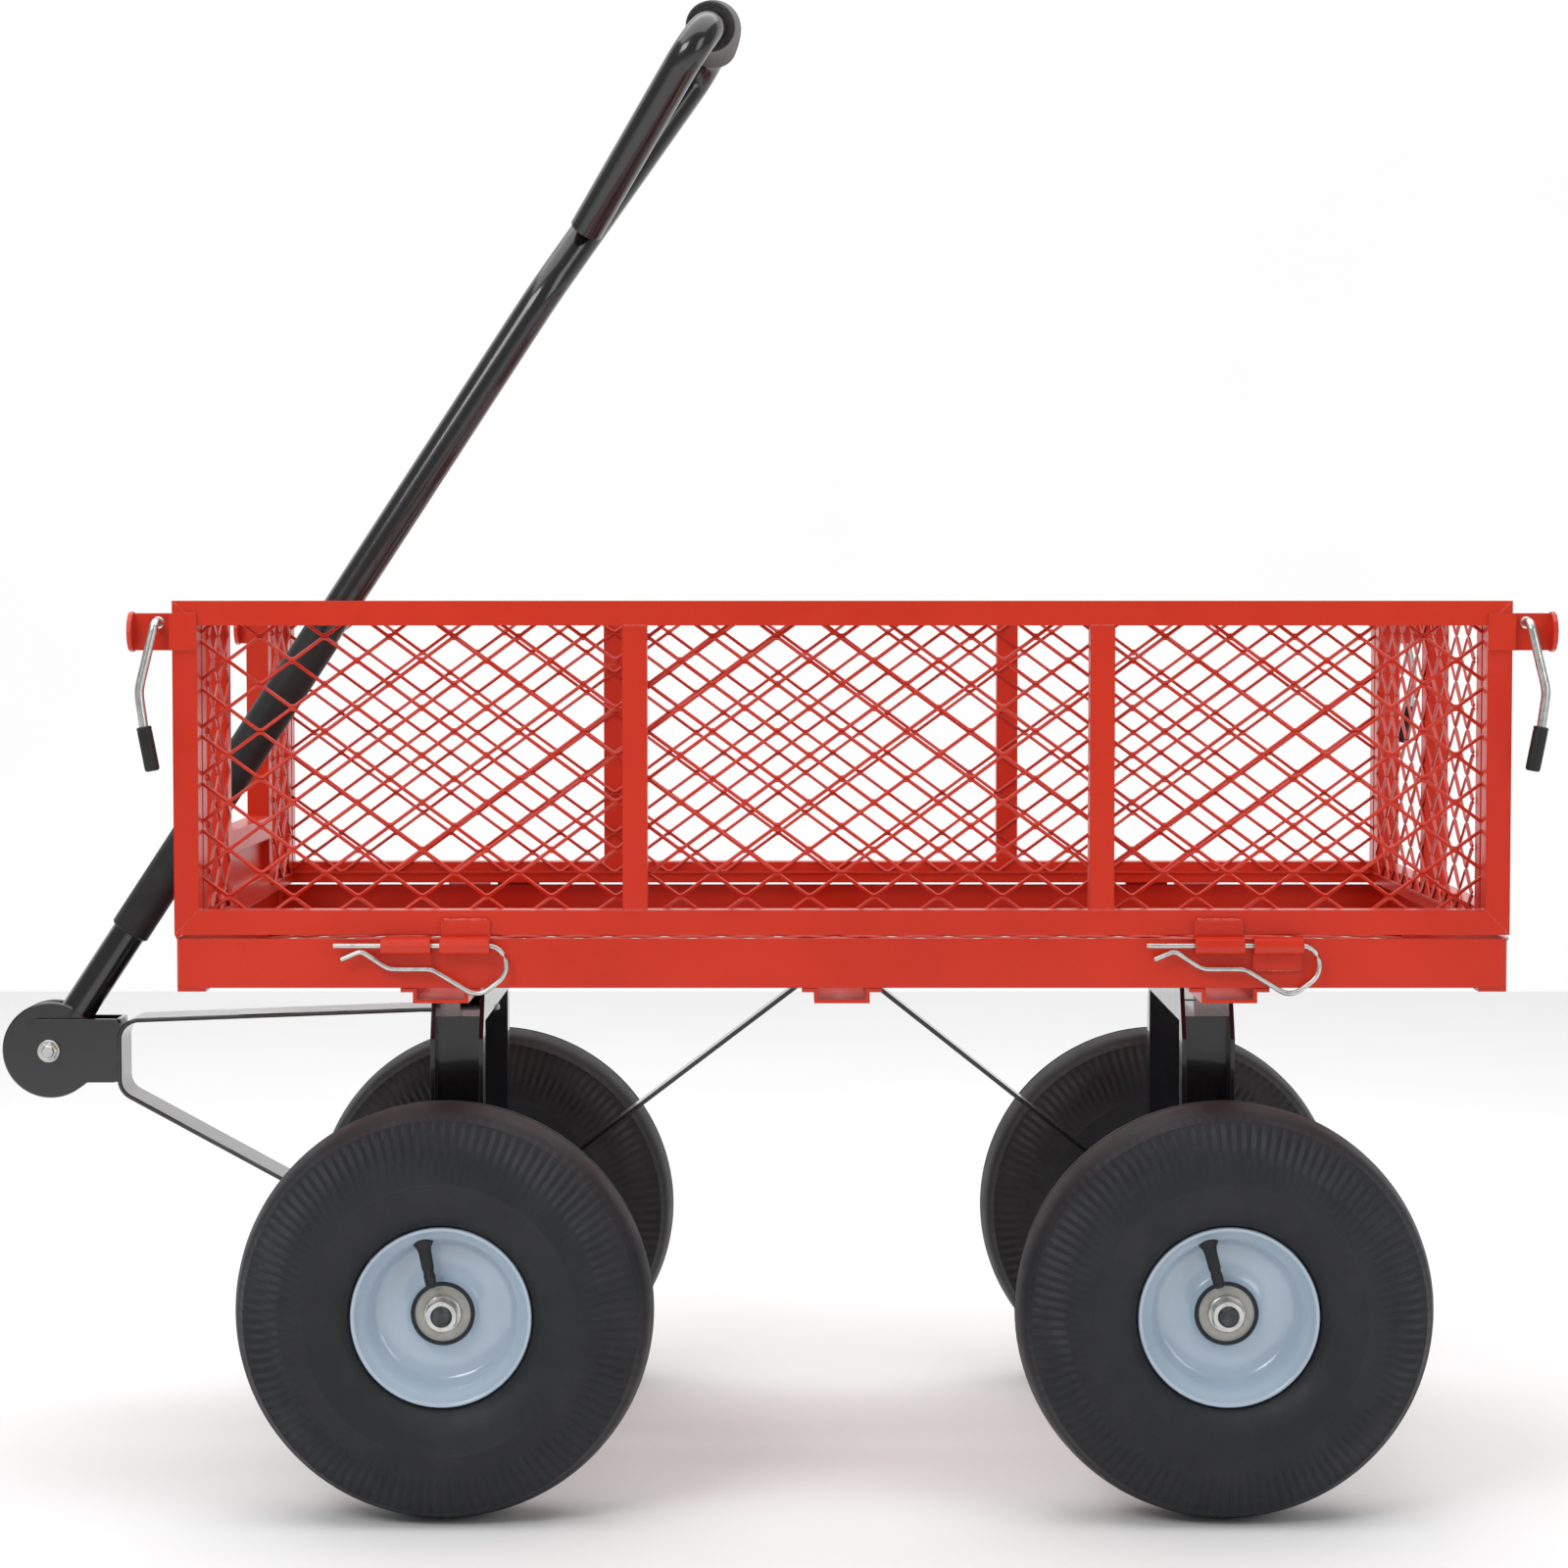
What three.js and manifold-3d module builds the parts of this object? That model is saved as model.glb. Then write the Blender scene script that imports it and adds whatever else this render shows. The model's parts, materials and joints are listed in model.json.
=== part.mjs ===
// Four-wheeled utility wagon: a steel bed with fold-down mesh sides, a steered
// front axle and a pull handle. Millimetres, +Z up, the handle end towards -X.
// The model is laid out about the middle of the bed, with the ground at z = 0.

import * as THREE from 'three';
import { mergeGeometries, mergeVertices } from 'three/addons/utils/BufferGeometryUtils.js';
import Module from 'manifold-3d';

const wasm = await Module();
wasm.setup();

// ---------------------------------------------------------------- dimensions

// Bed
const bedLength = 864;
const bedWidth = 457;
const skirtHeight = 32;
const skirtWall = 2;
const skirtInset = 0.5;          // skirt face behind the panels' outer faces
const skirtCornerRadius = 6;
const flangeWidth = 20;          // inward lip that carries the floor
const floorPlay = 2;             // between the floor sheet and the skirt
const cornerTab = 18;
const crossMemberWidth = 36;
const crossMemberDepth = 10;
const crossMemberFlange = 8;
const crossMemberWall = 2.5;

// Side and end panels
const panelHeight = 216;
const tubeSize = 16;             // square frame tube
const panelLift = 2.5;           // bottom rail above the skirt
const sideBayFront = 298;        // bed end to the middle of an upright
const sideBayRear = 264;
const endPanelClearance = 2.5;   // each end of an end panel to the side sheets
const notchWidth = 178;          // parked handle's slot in the front panel
const notchFloorHeight = 58;     // top of the slot's sill above the panel's foot
const notchPlateGauge = 2;

// Expanded sheet
const sheetGauge = 1.6;
const diamondLength = 103;
const diamondHeight = 77;
const strandWidth = 5;
const sheetLap = 8;              // sheet over the frame all round

// Hinges and their clips
const hingeSpacingSide = 525;
const hingeSpacingEnd = 240;
const hingeOffset = 6.5;         // hinge line outside the panel's outer face
const hingeDrop = 6.5;           // and below its foot
const sleeveLength = 32;
const sleeveGap = 6;
const sleeveRadius = 6;
const sleeveBore = 2.8;          // radius
const hingePlateGauge = 2.5;
const hingePlateHeight = 16;
const clipWire = 1.7;            // radius
const clipLength = 116;
const clipDrop = 36;             // foot of the clip's loop below the hinge line

// Corner latches
const latchReach = 28;           // bracket beyond the end of the bed
const latchStripGauge = 3;
const latchStripHeight = 24;
const latchStripInset = 3.5;     // strip behind the panel's outer face
const latchDrop = 20;            // middle of the bracket below the top rail
const latchHoleRadius = 4;
const latchPivotOut = 9.5;       // hole beyond the end of the bed
const latchPivotDrop = 14;       // hole below the top rail
const latchCollarWrap = 2;
const latchLeverLength = 92;
const latchLeverOut = 18;        // lever's hanging arm outside its hole
const latchLeverIn = 7;
const latchRod = 3;              // radius
const latchGripRadius = 4.8;
const latchGripLength = 29;

// Wheels
const tyreRadius = 138;
const tyreHalfWidth = 44;
const tyreShoulder = 10;         // tread's edge inside the widest part
const treadHalfWidth = 14;       // flat crown of the tread
const treadDrop = 6;             // crown down to the shoulder
const sidewallDepth = 38;        // widest part below the tread
const beadSetback = 15;
const tyreSides = 28;
const rimRadius = 61;
const rimHalfWidth = 31;
const rimLip = 4;
const rimDishDepth = 12.5;       // dish's foot inside the rim's edge
const rimDiscHalf = 5;
const rimSides = 12;
const hubRadius = 21;
const hubHalfLength = 16;
const bearingRadius = 17.5;
const track = 414;
const frontAxleSetback = 172;    // from the end of the bed
const rearAxleSetback = 181;
const axleRadius = 8;
const axleEndRadius = 7;
const nutAcrossFlats = 21;
const nutHeight = 9;
const washerRadius = 12;
const washerGauge = 2;

// Undercarriage
const bolsterWidth = 36;         // along the bed
const bolsterSpan = 204;         // outside the legs, across the bed
const bolsterWall = 3;
const bolsterFlange = 14;
const bolsterRise = 20.7;        // underside of its foot plate above the axle
const bolsterHeight = 183;       // from there to the cross member
const bolsterWebDrop = 26;       // web below the cross member
const axleBlockLength = 60;
const axleCollar = 6;            // length, inside each hub
const boltRadius = 5;
const boltHeadRadius = 9;
const boltHeadHeight = 6;
const boltNutHeight = 8;
const boltTail = 2;              // thread beyond the nut
const braceWidth = 20;
const braceGauge = 3;
const braceTab = 15;
const braceEye = 13;

// Tongue
const tongueWidth = 40;
const tongueGauge = 3;
const tongueReach = 75.5;        // front beyond the end of the bed
const tongueDrop = 86;           // lower front bend below the cross members
const tongueBend = 14;
const tongueEye = 20;
const pivotReach = 126;          // handle's bolt beyond the end of the bed
const pivotDrop = 57.5;          // and below the cross members
const clevisGap = 25;
const clevisWall = 3;
const clevisHeight = 45;
const clevisNose = 14;           // cheeks in front of the pivot

// Handle
const handleLean = 56.7;         // degrees above level, leaning over the bed
const handleTube = 12;           // radius
const drumRadius = 34;
const drumGroove = 4;
const drumDiscGauge = 5;
const shaftStart = 28;
const shaftStraight = 640;
const sleeveStart = 100;
const sleeveEnd = 353;
const handleSleeveRadius = 14;
const shaftBend = 100;
const loopHalfWidth = 76;
const loopShoulder = 844;
const loopCrown = 868;
const loopCornerBend = 24;
const loopCrownBend = 140;
const loopEnd = 694;             // where the loop comes back to the shaft
const loopEndAcross = 4;
const gripRadius = 17.5;

// Fits
const gap = 0.3;                 // between pieces that rest on each other
const runningGap = 0.6;          // round a turning or sliding piece

// Facets
const roundSides = 12;
const tubeSides = 12;
const drumSides = 24;
const smallSides = 8;
const wireSides = 6;
const bendStep = 30;             // degrees of bend to a facet

// Places worked out from the dimensions
const halfLength = bedLength / 2;
const halfWidth = bedWidth / 2;
const axleHeight = tyreRadius * Math.cos(Math.PI / tyreSides);
const frontAxleX = -halfLength + frontAxleSetback;
const rearAxleX = halfLength - rearAxleSetback;
const bolsterFoot = axleHeight + bolsterRise;
const crossMemberFoot = bolsterFoot + bolsterHeight;
const skirtFoot = crossMemberFoot + crossMemberDepth;
const skirtTop = skirtFoot + skirtHeight;
const panelFoot = skirtTop + panelLift;
const panelTop = panelFoot + panelHeight;
const hingeHeight = panelFoot - hingeDrop;
const sheetOuter = tubeSize + gap;
const sheetInner = sheetOuter + sheetGauge;
const endHalfWidth = halfWidth - sheetInner - endPanelClearance;
const webTop = crossMemberFoot - bolsterWebDrop + bolsterWall;
const webFoot = webTop - bolsterWall;
const bolsterPlateTop = bolsterFoot + bolsterWall;
const latchPivotZ = panelTop - latchPivotDrop;
const tongueFrontX = -halfLength - tongueReach;
const tongueLowerZ = crossMemberFoot - tongueDrop;
const handlePivotX = -halfLength - pivotReach;
const handlePivotZ = crossMemberFoot - pivotDrop;

// ----------------------------------------------------------------- materials

function finish(color, roughness, metalness) {
  return new THREE.MeshStandardMaterial({ color, roughness, metalness });
}

const redPaint = finish(0xc62c10, 0.35, 0.1);
const blackPaint = finish(0x0b0b0d, 0.25, 0.1);
const zinc = finish(0xb9bab8, 0.3, 0.9);
const enamel = finish(0xaec4d8, 0.2, 0.1);
const tyreRubber = finish(0x15161a, 0.8, 0);
const gripFoam = finish(0x4b474b, 0.85, 0);
const gripRubber = finish(0x141414, 0.7, 0);

// ------------------------------------------------------------ solid modelling

function toSolid(geometry) {
  const bare = new THREE.BufferGeometry();
  bare.setAttribute('position', geometry.getAttribute('position').clone());
  if (geometry.index) bare.setIndex(geometry.index.clone());
  const merged = mergeVertices(bare, 1e-4);
  const corners = merged.index.array;
  const kept = [];
  for (let i = 0; i < corners.length; i += 3) {
    const [a, b, c] = corners.slice(i, i + 3);
    if (a !== b && b !== c && c !== a) kept.push(a, b, c);
  }
  const vertProperties = new Float32Array(merged.getAttribute('position').array);
  const triVerts = new Uint32Array(kept);
  return new wasm.Manifold(new wasm.Mesh({ numProp: 3, vertProperties, triVerts }));
}

function toGeometry(solid) {
  const { vertProperties, triVerts } = solid.getMesh();
  const geometry = new THREE.BufferGeometry();
  geometry.setAttribute('position', new THREE.BufferAttribute(vertProperties, 3));
  geometry.setIndex(new THREE.BufferAttribute(triVerts, 1));
  geometry.computeVertexNormals();
  return geometry;
}

function join(geometries) {
  return toGeometry(geometries.map(toSolid).reduce((all, next) => all.add(next)));
}

function cut(geometry, tools) {
  const left = tools.map(toSolid).reduce((rest, tool) => rest.subtract(tool), toSolid(geometry));
  return toGeometry(left);
}

// The two values in order, from the middle outwards on either side.
function span(sign, inner, outer) {
  return sign < 0 ? [-outer, -inner] : [inner, outer];
}

// Box between two opposite corners.
function block(low, high) {
  const size = high.map((value, i) => value - low[i]);
  const geometry = new THREE.BoxGeometry(...size);
  return geometry.translate(...low.map((value, i) => value + size[i] / 2));
}

function rodZ(radius, low, high, sides = roundSides) {
  const geometry = new THREE.CylinderGeometry(radius, radius, high - low, sides);
  return geometry.rotateX(Math.PI / 2).translate(0, 0, (low + high) / 2);
}

function rodY(radius, low, high, sides = roundSides) {
  const geometry = new THREE.CylinderGeometry(radius, radius, high - low, sides);
  return geometry.translate(0, (low + high) / 2, 0);
}

function rodX(radius, low, high, sides = roundSides) {
  const geometry = new THREE.CylinderGeometry(radius, radius, high - low, sides);
  return geometry.rotateZ(Math.PI / 2).translate((low + high) / 2, 0, 0);
}

// Solid of revolution about Y from a closed profile of [radius, y] pairs.
function turned(profile, sides) {
  const points = [...profile, profile[0]].map(([radius, y]) => new THREE.Vector2(radius, y));
  return new THREE.LatheGeometry(points, sides, Math.PI / sides);
}

// Corner radius of a faceted bore whose flats clear a rod.
function boreRound(rod, sides = tubeSides) {
  return (rod + gap) / Math.cos(Math.PI / sides);
}

function ringY(inner, outer, low, high, sides = roundSides) {
  return turned([[inner, low], [outer, low], [outer, high], [inner, high]], sides);
}

// Outline in the XZ plane, given a thickness along Y and centred on it.
function plateXZ(shape, thickness) {
  const geometry = new THREE.ExtrudeGeometry(shape, { depth: thickness, bevelEnabled: false });
  return geometry.rotateX(Math.PI / 2).translate(0, thickness / 2, 0);
}

// Points of a route whose corners are rounded: each corner is [Vector3, radius].
function rounded(corners) {
  const points = [corners[0][0].clone()];
  for (let i = 1; i < corners.length - 1; i += 1) {
    const [corner, radius] = corners[i];
    const inward = corner.clone().sub(corners[i - 1][0]).normalize();
    const outward = corners[i + 1][0].clone().sub(corner).normalize();
    const angle = inward.angleTo(outward);
    const axis = inward.clone().cross(outward).normalize();
    const start = corner.clone().addScaledVector(inward, -radius * Math.tan(angle / 2));
    const toCentre = axis.clone().cross(inward).multiplyScalar(radius);
    const centre = start.clone().add(toCentre);
    const steps = Math.max(1, Math.round(THREE.MathUtils.radToDeg(angle) / bendStep));
    for (let k = 0; k <= steps; k += 1) {
      const spoke = toCentre.clone().negate().applyAxisAngle(axis, (angle * k) / steps);
      points.push(centre.clone().add(spoke));
    }
  }
  points.push(corners.at(-1)[0].clone());
  return points;
}

// Curve through a list of points, stepped from point to point.
class Route extends THREE.Curve {
  constructor(points) {
    super();
    this.points = points;
  }

  getPoint(t, target = new THREE.Vector3()) {
    const place = t * (this.points.length - 1);
    const index = Math.min(Math.floor(place), this.points.length - 2);
    return target.lerpVectors(this.points[index], this.points[index + 1], place - index);
  }

  getTangent(t, target = new THREE.Vector3()) {
    const last = this.points.length - 1;
    const index = Math.round(t * last);
    const before = this.points[Math.max(index - 1, 0)];
    const here = this.points[index];
    const after = this.points[Math.min(index + 1, last)];
    const arriving = here.clone().sub(before).normalize();
    const leaving = after.clone().sub(here).normalize();
    return target.copy(arriving.add(leaving)).normalize();
  }

  getUtoTmapping(u) {
    return u;
  }
}

function circle(radius, sides) {
  const points = [];
  for (let i = 0; i < sides; i += 1) {
    const angle = (2 * Math.PI * i) / sides;
    points.push(new THREE.Vector2(radius * Math.cos(angle), radius * Math.sin(angle)));
  }
  return points;
}

function sweep(points, radius, sides, bore = 0) {
  const section = new THREE.Shape(circle(radius, sides));
  if (bore) section.holes.push(new THREE.Path(circle(bore, sides)));
  const settings = { steps: points.length - 1, extrudePath: new Route(points) };
  return new THREE.ExtrudeGeometry(section, settings);
}

// Flat strip whose edge follows a route in the XZ plane.
function strip(points, gauge, width) {
  const sides = [-gauge / 2, gauge / 2].map((offset) => points.map((point, i) => {
    const before = points[Math.max(i - 1, 0)];
    const after = points[Math.min(i + 1, points.length - 1)];
    const along = new Route([before, after]).getTangent(0);
    return new THREE.Vector2(point.x - along.z * offset, point.z + along.x * offset);
  }));
  return plateXZ(new THREE.Shape([...sides[0], ...sides[1].reverse()]), width);
}

// Convex polygon clipped to |x| <= halfX and |y| <= halfY.
function clipped(polygon, halfX, halfY) {
  const limits = [['x', 1, halfX], ['x', -1, halfX], ['y', 1, halfY], ['y', -1, halfY]];
  return limits.reduce((points, [key, sign, limit]) => points.flatMap((point, i) => {
    const next = points[(i + 1) % points.length];
    const depth = limit - sign * point[key];
    const nextDepth = limit - sign * next[key];
    const kept = depth >= 0 ? [point] : [];
    if (depth * nextDepth < 0) kept.push(point.clone().lerp(next, depth / (depth - nextDepth)));
    return kept;
  }), polygon);
}

// Expanded sheet in the XY plane, centred, with diamond openings and a plain edge.
function expandedSheet(length, height) {
  const halfX = length / 2;
  const halfY = height / 2;
  const shrink = 1 - strandWidth * Math.hypot(1 / diamondLength, 1 / diamondHeight);
  const diamond = [[1, 0], [0, 1], [-1, 0], [0, -1]].map(([x, y]) => (
    new THREE.Vector2((x * diamondLength) / 2, (y * diamondHeight) / 2).multiplyScalar(shrink)
  ));
  const reachX = Math.ceil(length / diamondLength);
  const reachY = Math.ceil(height / diamondHeight);
  const smallest = 2 * strandWidth * strandWidth;
  const openings = [];
  for (let i = -reachX; i <= reachX; i += 1) {
    for (let j = -reachY; j <= reachY; j += 1) {
      if ((i + j) % 2) continue;
      const centre = new THREE.Vector2((i * diamondLength) / 2, (j * diamondHeight) / 2);
      const placed = diamond.map((corner) => corner.clone().add(centre));
      const hole = clipped(placed, halfX - strandWidth, halfY - strandWidth);
      if (hole.length < 3 || Math.abs(THREE.ShapeUtils.area(hole)) < smallest) continue;
      const settings = { depth: sheetGauge + 2, bevelEnabled: false };
      openings.push(new THREE.ExtrudeGeometry(new THREE.Shape(hole), settings).translate(0, 0, -1));
    }
  }
  const sheet = block([-halfX, -halfY, 0], [halfX, halfY, sheetGauge]);
  return cut(sheet, [mergeGeometries(openings)]);
}

// --------------------------------------------------------------- scene graph

const wagon = new THREE.Group();

function add(name, geometry, material, parent = wagon) {
  const mesh = new THREE.Mesh(geometry, material);
  mesh.name = name;
  parent.add(mesh);
  return mesh;
}

// ----------------------------------------------------------- hinges and clips
// Local frame of a hinge: x along the hinge line from its middle, -y outwards.

// One rolled sleeve with its welded plate. side is -1 or 1 along x; the plate
// goes up on a panel and down on the bed.
function hingeSleeve(side, onPanel) {
  const near = (side * sleeveGap) / 2;
  const far = side * (sleeveGap / 2 + sleeveLength);
  const low = Math.min(near, far);
  const high = Math.max(near, far);
  const plateBack = onPanel ? hingeOffset + skirtInset - gap : hingeOffset + skirtInset + gap;
  const foot = onPanel ? 0 : -hingePlateHeight;
  const plateFront = hingeOffset - hingePlateGauge;
  const plate = block([low, plateFront, foot], [high, plateBack, foot + hingePlateHeight]);
  const body = join([rodX(sleeveRadius, low, high, smallSides), plate]);
  return cut(body, [rodX(sleeveBore, low - 1, high + 1, wireSides)]);
}

// Hairpin clip that serves as the hinge's pin: a straight arm, an eye at one
// end and a waved arm coming back under it.
function hairpinClip() {
  const tail = -clipLength * 0.57;
  const nose = clipLength * 0.43;
  const foot = -clipDrop + 0.5;
  const corners = [
    [tail, 0, 0], [nose - 6, 0, 12], [nose, foot / 2 - 2, 12], [nose - 20, foot, 9],
    [nose - 48, foot / 2 + 1.5, 12], [tail + 38, foot / 2 + 1.5, 12], [tail + 18, -3.2, 5],
    [tail + 5, -8.5, 0],
  ];
  const route = rounded(corners.map(([x, z, radius]) => [new THREE.Vector3(x, 0, z), radius]));
  return sweep(route, clipWire, wireSides);
}

// Hinge places on one edge: x of each hinge's middle, and which way round it is.
function hingePlaces(spacing) {
  return [[-spacing / 2, -1], [spacing / 2, 1]];
}

function hingeSleeves(spacing, lineY, onPanel) {
  return hingePlaces(spacing).map(([x, outer]) => {
    const side = onPanel ? -outer : outer;
    return hingeSleeve(side, onPanel).translate(x, lineY, hingeHeight);
  });
}

// ------------------------------------------------------------------------ bed

function roundedRectangle(width, height, radius) {
  const x = width / 2;
  const y = height / 2;
  const quarter = Math.PI / 2;
  const shape = new THREE.Shape();
  shape.moveTo(x, -y + radius);
  shape.absarc(x - radius, y - radius, radius, 0, quarter);
  shape.absarc(-x + radius, y - radius, radius, quarter, 2 * quarter);
  shape.absarc(-x + radius, -y + radius, radius, 2 * quarter, 3 * quarter);
  shape.absarc(x - radius, -y + radius, radius, 3 * quarter, 4 * quarter);
  return shape;
}

function slab(shape, low, high) {
  const settings = { depth: high - low, bevelEnabled: false, curveSegments: 3 };
  return new THREE.ExtrudeGeometry(shape, settings).translate(0, 0, low);
}

function bedFrame() {
  const length = bedLength - 2 * skirtInset;
  const width = bedWidth - 2 * skirtInset;
  const outline = roundedRectangle(length, width, skirtCornerRadius);
  const inside = (inset, radius) => roundedRectangle(length - 2 * inset, width - 2 * inset, radius);
  const well = inside(skirtWall, skirtCornerRadius - skirtWall);
  const mouth = inside(flangeWidth, skirtCornerRadius);
  const tray = cut(slab(outline, skirtFoot, skirtTop), [
    slab(well, skirtFoot + skirtWall, skirtTop + 1),
    slab(mouth, skirtFoot - 1, skirtTop + 1),
  ]);
  const pieces = [tray];
  for (const signX of [-1, 1]) {
    for (const signY of [-1, 1]) {
      const x = signX * (length / 2 - cornerTab / 2 - skirtWall / 2);
      const y = signY * (width / 2 - cornerTab / 2 - skirtWall / 2);
      const half = cornerTab / 2;
      const foot = skirtFoot - crossMemberWall;
      pieces.push(block([x - half, y - half, foot], [x + half, y + half, skirtFoot + skirtWall / 2]));
    }
  }
  const sideSleeves = () => hingeSleeves(hingeSpacingSide, -halfWidth - hingeOffset, false);
  const endSleeves = () => hingeSleeves(hingeSpacingEnd, -halfLength - hingeOffset, false);
  pieces.push(...sideSleeves());
  pieces.push(...sideSleeves().map((sleeve) => sleeve.rotateZ(Math.PI)));
  pieces.push(...endSleeves().map((sleeve) => sleeve.rotateZ(-Math.PI / 2)));
  pieces.push(...endSleeves().map((sleeve) => sleeve.rotateZ(Math.PI / 2)));
  return join(pieces);
}

function floorSheet() {
  const length = bedLength - 2 * (skirtInset + skirtWall + floorPlay);
  const width = bedWidth - 2 * (skirtInset + skirtWall + floorPlay);
  return expandedSheet(length, width).translate(0, 0, skirtFoot + skirtWall + gap);
}

// Hat section across the bed, open upwards, its lips under the skirt's lip.
function crossMember() {
  const outer = crossMemberWidth / 2;
  const lip = outer + crossMemberFlange;
  const wall = crossMemberWall;
  const top = crossMemberDepth - gap;
  const outline = [
    [-outer, 0], [outer, 0], [outer, top - wall], [lip, top - wall], [lip, top], [outer - wall, top],
    [outer - wall, wall], [-outer + wall, wall], [-outer + wall, top], [-lip, top],
    [-lip, top - wall], [-outer, top - wall],
  ];
  const shape = new THREE.Shape(outline.map(([x, z]) => new THREE.Vector2(x, z)));
  return plateXZ(shape, bedWidth - 2 * skirtInset).translate(0, 0, crossMemberFoot);
}

// --------------------------------------------------------------------- panels

function sideFrame() {
  const outerY = -halfWidth;
  const innerY = outerY + tubeSize;
  const bar = (x0, z0, x1, z1) => block([x0, outerY, z0], [x1, innerY, z1]);
  const pieces = [
    bar(-halfLength, panelFoot, halfLength, panelFoot + tubeSize),
    bar(-halfLength, panelTop - tubeSize, halfLength, panelTop),
    bar(-halfLength, panelFoot, -halfLength + tubeSize, panelTop),
    bar(halfLength - tubeSize, panelFoot, halfLength, panelTop),
  ];
  for (const x of [-halfLength + sideBayFront, halfLength - sideBayRear]) {
    pieces.push(bar(x - tubeSize / 2, panelFoot + 1, x + tubeSize / 2, panelTop - 1));
  }
  for (const sign of [-1, 1]) pieces.push(...latchBracket(sign));
  pieces.push(...hingeSleeves(hingeSpacingSide, outerY - hingeOffset, true));
  return join(pieces);
}

// Collar on the top corner and the holed strip that carries the latch lever.
function latchBracket(sign) {
  const middle = panelTop - latchDrop;
  const low = middle - latchStripHeight / 2;
  const high = middle + latchStripHeight / 2;
  const end = halfLength + latchReach;
  const collarY = -halfWidth - latchCollarWrap;
  const stripY = -halfWidth + latchStripInset;
  const stripBack = stripY + latchStripGauge;
  const [collarLow, collarHigh] = span(sign, halfLength - tubeSize, halfLength + latchCollarWrap);
  const [stripLow, stripHigh] = span(sign, halfLength, end - latchStripGauge / 2);
  const [discLow, discHigh] = span(sign, end - latchStripGauge, end);
  const collar = block([collarLow, collarY, low], [collarHigh, -halfWidth + tubeSize - 1, high]);
  const hole = rodY(latchHoleRadius, stripY - 1, stripBack + 1)
    .translate(sign * (halfLength + latchPivotOut), 0, latchPivotZ);
  const holed = cut(block([stripLow, stripY, low], [stripHigh, stripBack, high]), [hole]);
  const disc = rodX(latchStripHeight / 2 + 1, discLow, discHigh)
    .translate(0, stripY + latchStripGauge / 2, middle);
  return [collar, holed, disc];
}

function sideSheet() {
  const length = bedLength - 2 * sheetLap;
  const height = panelHeight - 2 * sheetLap;
  return expandedSheet(length, height)
    .rotateX(Math.PI / 2)
    .translate(0, -halfWidth + sheetInner, panelFoot + panelHeight / 2);
}

// Rail or post of an end panel, built across Y at the panel's outer plane.
function endBar(y0, z0, y1, z1) {
  return block([-halfLength, y0, z0], [-halfLength + tubeSize, y1, z1]);
}

function endSleevePieces() {
  return hingeSleeves(hingeSpacingEnd, -halfLength - hingeOffset, true)
    .map((sleeve) => sleeve.rotateZ(-Math.PI / 2));
}

// The rear panel, built at the front and turned round by its group.
function rearFrame() {
  const w = endHalfWidth;
  return join([
    endBar(-w, panelFoot, w, panelFoot + tubeSize),
    endBar(-w, panelTop - tubeSize, w, panelTop),
    endBar(-w, panelFoot, -w + tubeSize, panelTop),
    endBar(w - tubeSize, panelFoot, w, panelTop),
    endBar(-tubeSize / 2, panelFoot + 1, tubeSize / 2, panelTop - 1),
    ...endSleevePieces(),
  ]);
}

function frontFrame() {
  const w = endHalfWidth;
  const slot = notchWidth / 2;
  const sill = panelFoot + notchFloorHeight;
  const plateX = -halfLength + tubeSize / 2;
  const pieces = [
    endBar(-w, panelFoot, w, panelFoot + tubeSize),
    endBar(-slot - 1, sill - tubeSize, slot + 1, sill),
    block([plateX, -slot - 1, panelFoot + 1], [plateX + notchPlateGauge, slot + 1, sill - 1]),
    ...endSleevePieces(),
  ];
  for (const sign of [-1, 1]) {
    const [low, high] = span(sign, slot, w);
    pieces.push(endBar(low, panelTop - tubeSize, high, panelTop));
    pieces.push(endBar(low, panelFoot, low + tubeSize, panelTop));
    pieces.push(endBar(high - tubeSize, panelFoot, high, panelTop));
  }
  return join(pieces);
}

function endSheet(low, high) {
  const height = panelHeight - 2 * sheetLap;
  return expandedSheet(high - low - 2 * sheetLap, height)
    .rotateX(Math.PI / 2)
    .rotateZ(-Math.PI / 2)
    .translate(-halfLength + sheetInner, (low + high) / 2, panelFoot + panelHeight / 2);
}

// --------------------------------------------------------------- corner latch

// Points of the lever's hanging arm, in its own frame about the hole.
function leverArm(sign) {
  return [[10, -44], [7, -66], [2, -latchLeverLength]]
    .map(([x, z]) => new THREE.Vector3(sign * x, -latchLeverOut, z));
}

// Zinc lever that hangs from the bracket.
function latchLever(sign) {
  const [knee, middle, tip] = leverArm(sign);
  return sweep(rounded([
    [new THREE.Vector3(0, latchLeverIn, 0), 0],
    [new THREE.Vector3(0, -latchLeverOut + 1, 0), 6],
    [knee, 20],
    [middle, 20],
    [tip, 0],
  ]), latchRod, wireSides);
}

// Rubber sleeve on the lever's tip, closed at its foot.
function latchGrip(sign) {
  const [, middle, tip] = leverArm(sign);
  const along = middle.clone().sub(tip).normalize();
  const foot = tip.clone().addScaledVector(along, -latchRod - gap);
  const head = foot.clone().addScaledVector(along, latchGripLength);
  const past = head.clone().addScaledVector(along, 1);
  const seat = tip.clone().addScaledVector(along, -gap);
  const bore = sweep([seat, past], boreRound(latchRod, wireSides), wireSides);
  return cut(sweep([foot, head], latchGripRadius, smallSides), [bore]);
}

// --------------------------------------------------------------------- wheels

function tyre() {
  const w = tyreHalfWidth;
  const bead = rimRadius + 2 * gap;
  const half = [
    [tyreRadius, treadHalfWidth], [tyreRadius - treadDrop, w - tyreShoulder],
    [tyreRadius - sidewallDepth, w], [bead, w - beadSetback],
  ];
  const otherHalf = half.map(([radius, y]) => [radius, -y]).reverse();
  return turned([...otherHalf, ...half], tyreSides);
}

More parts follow.
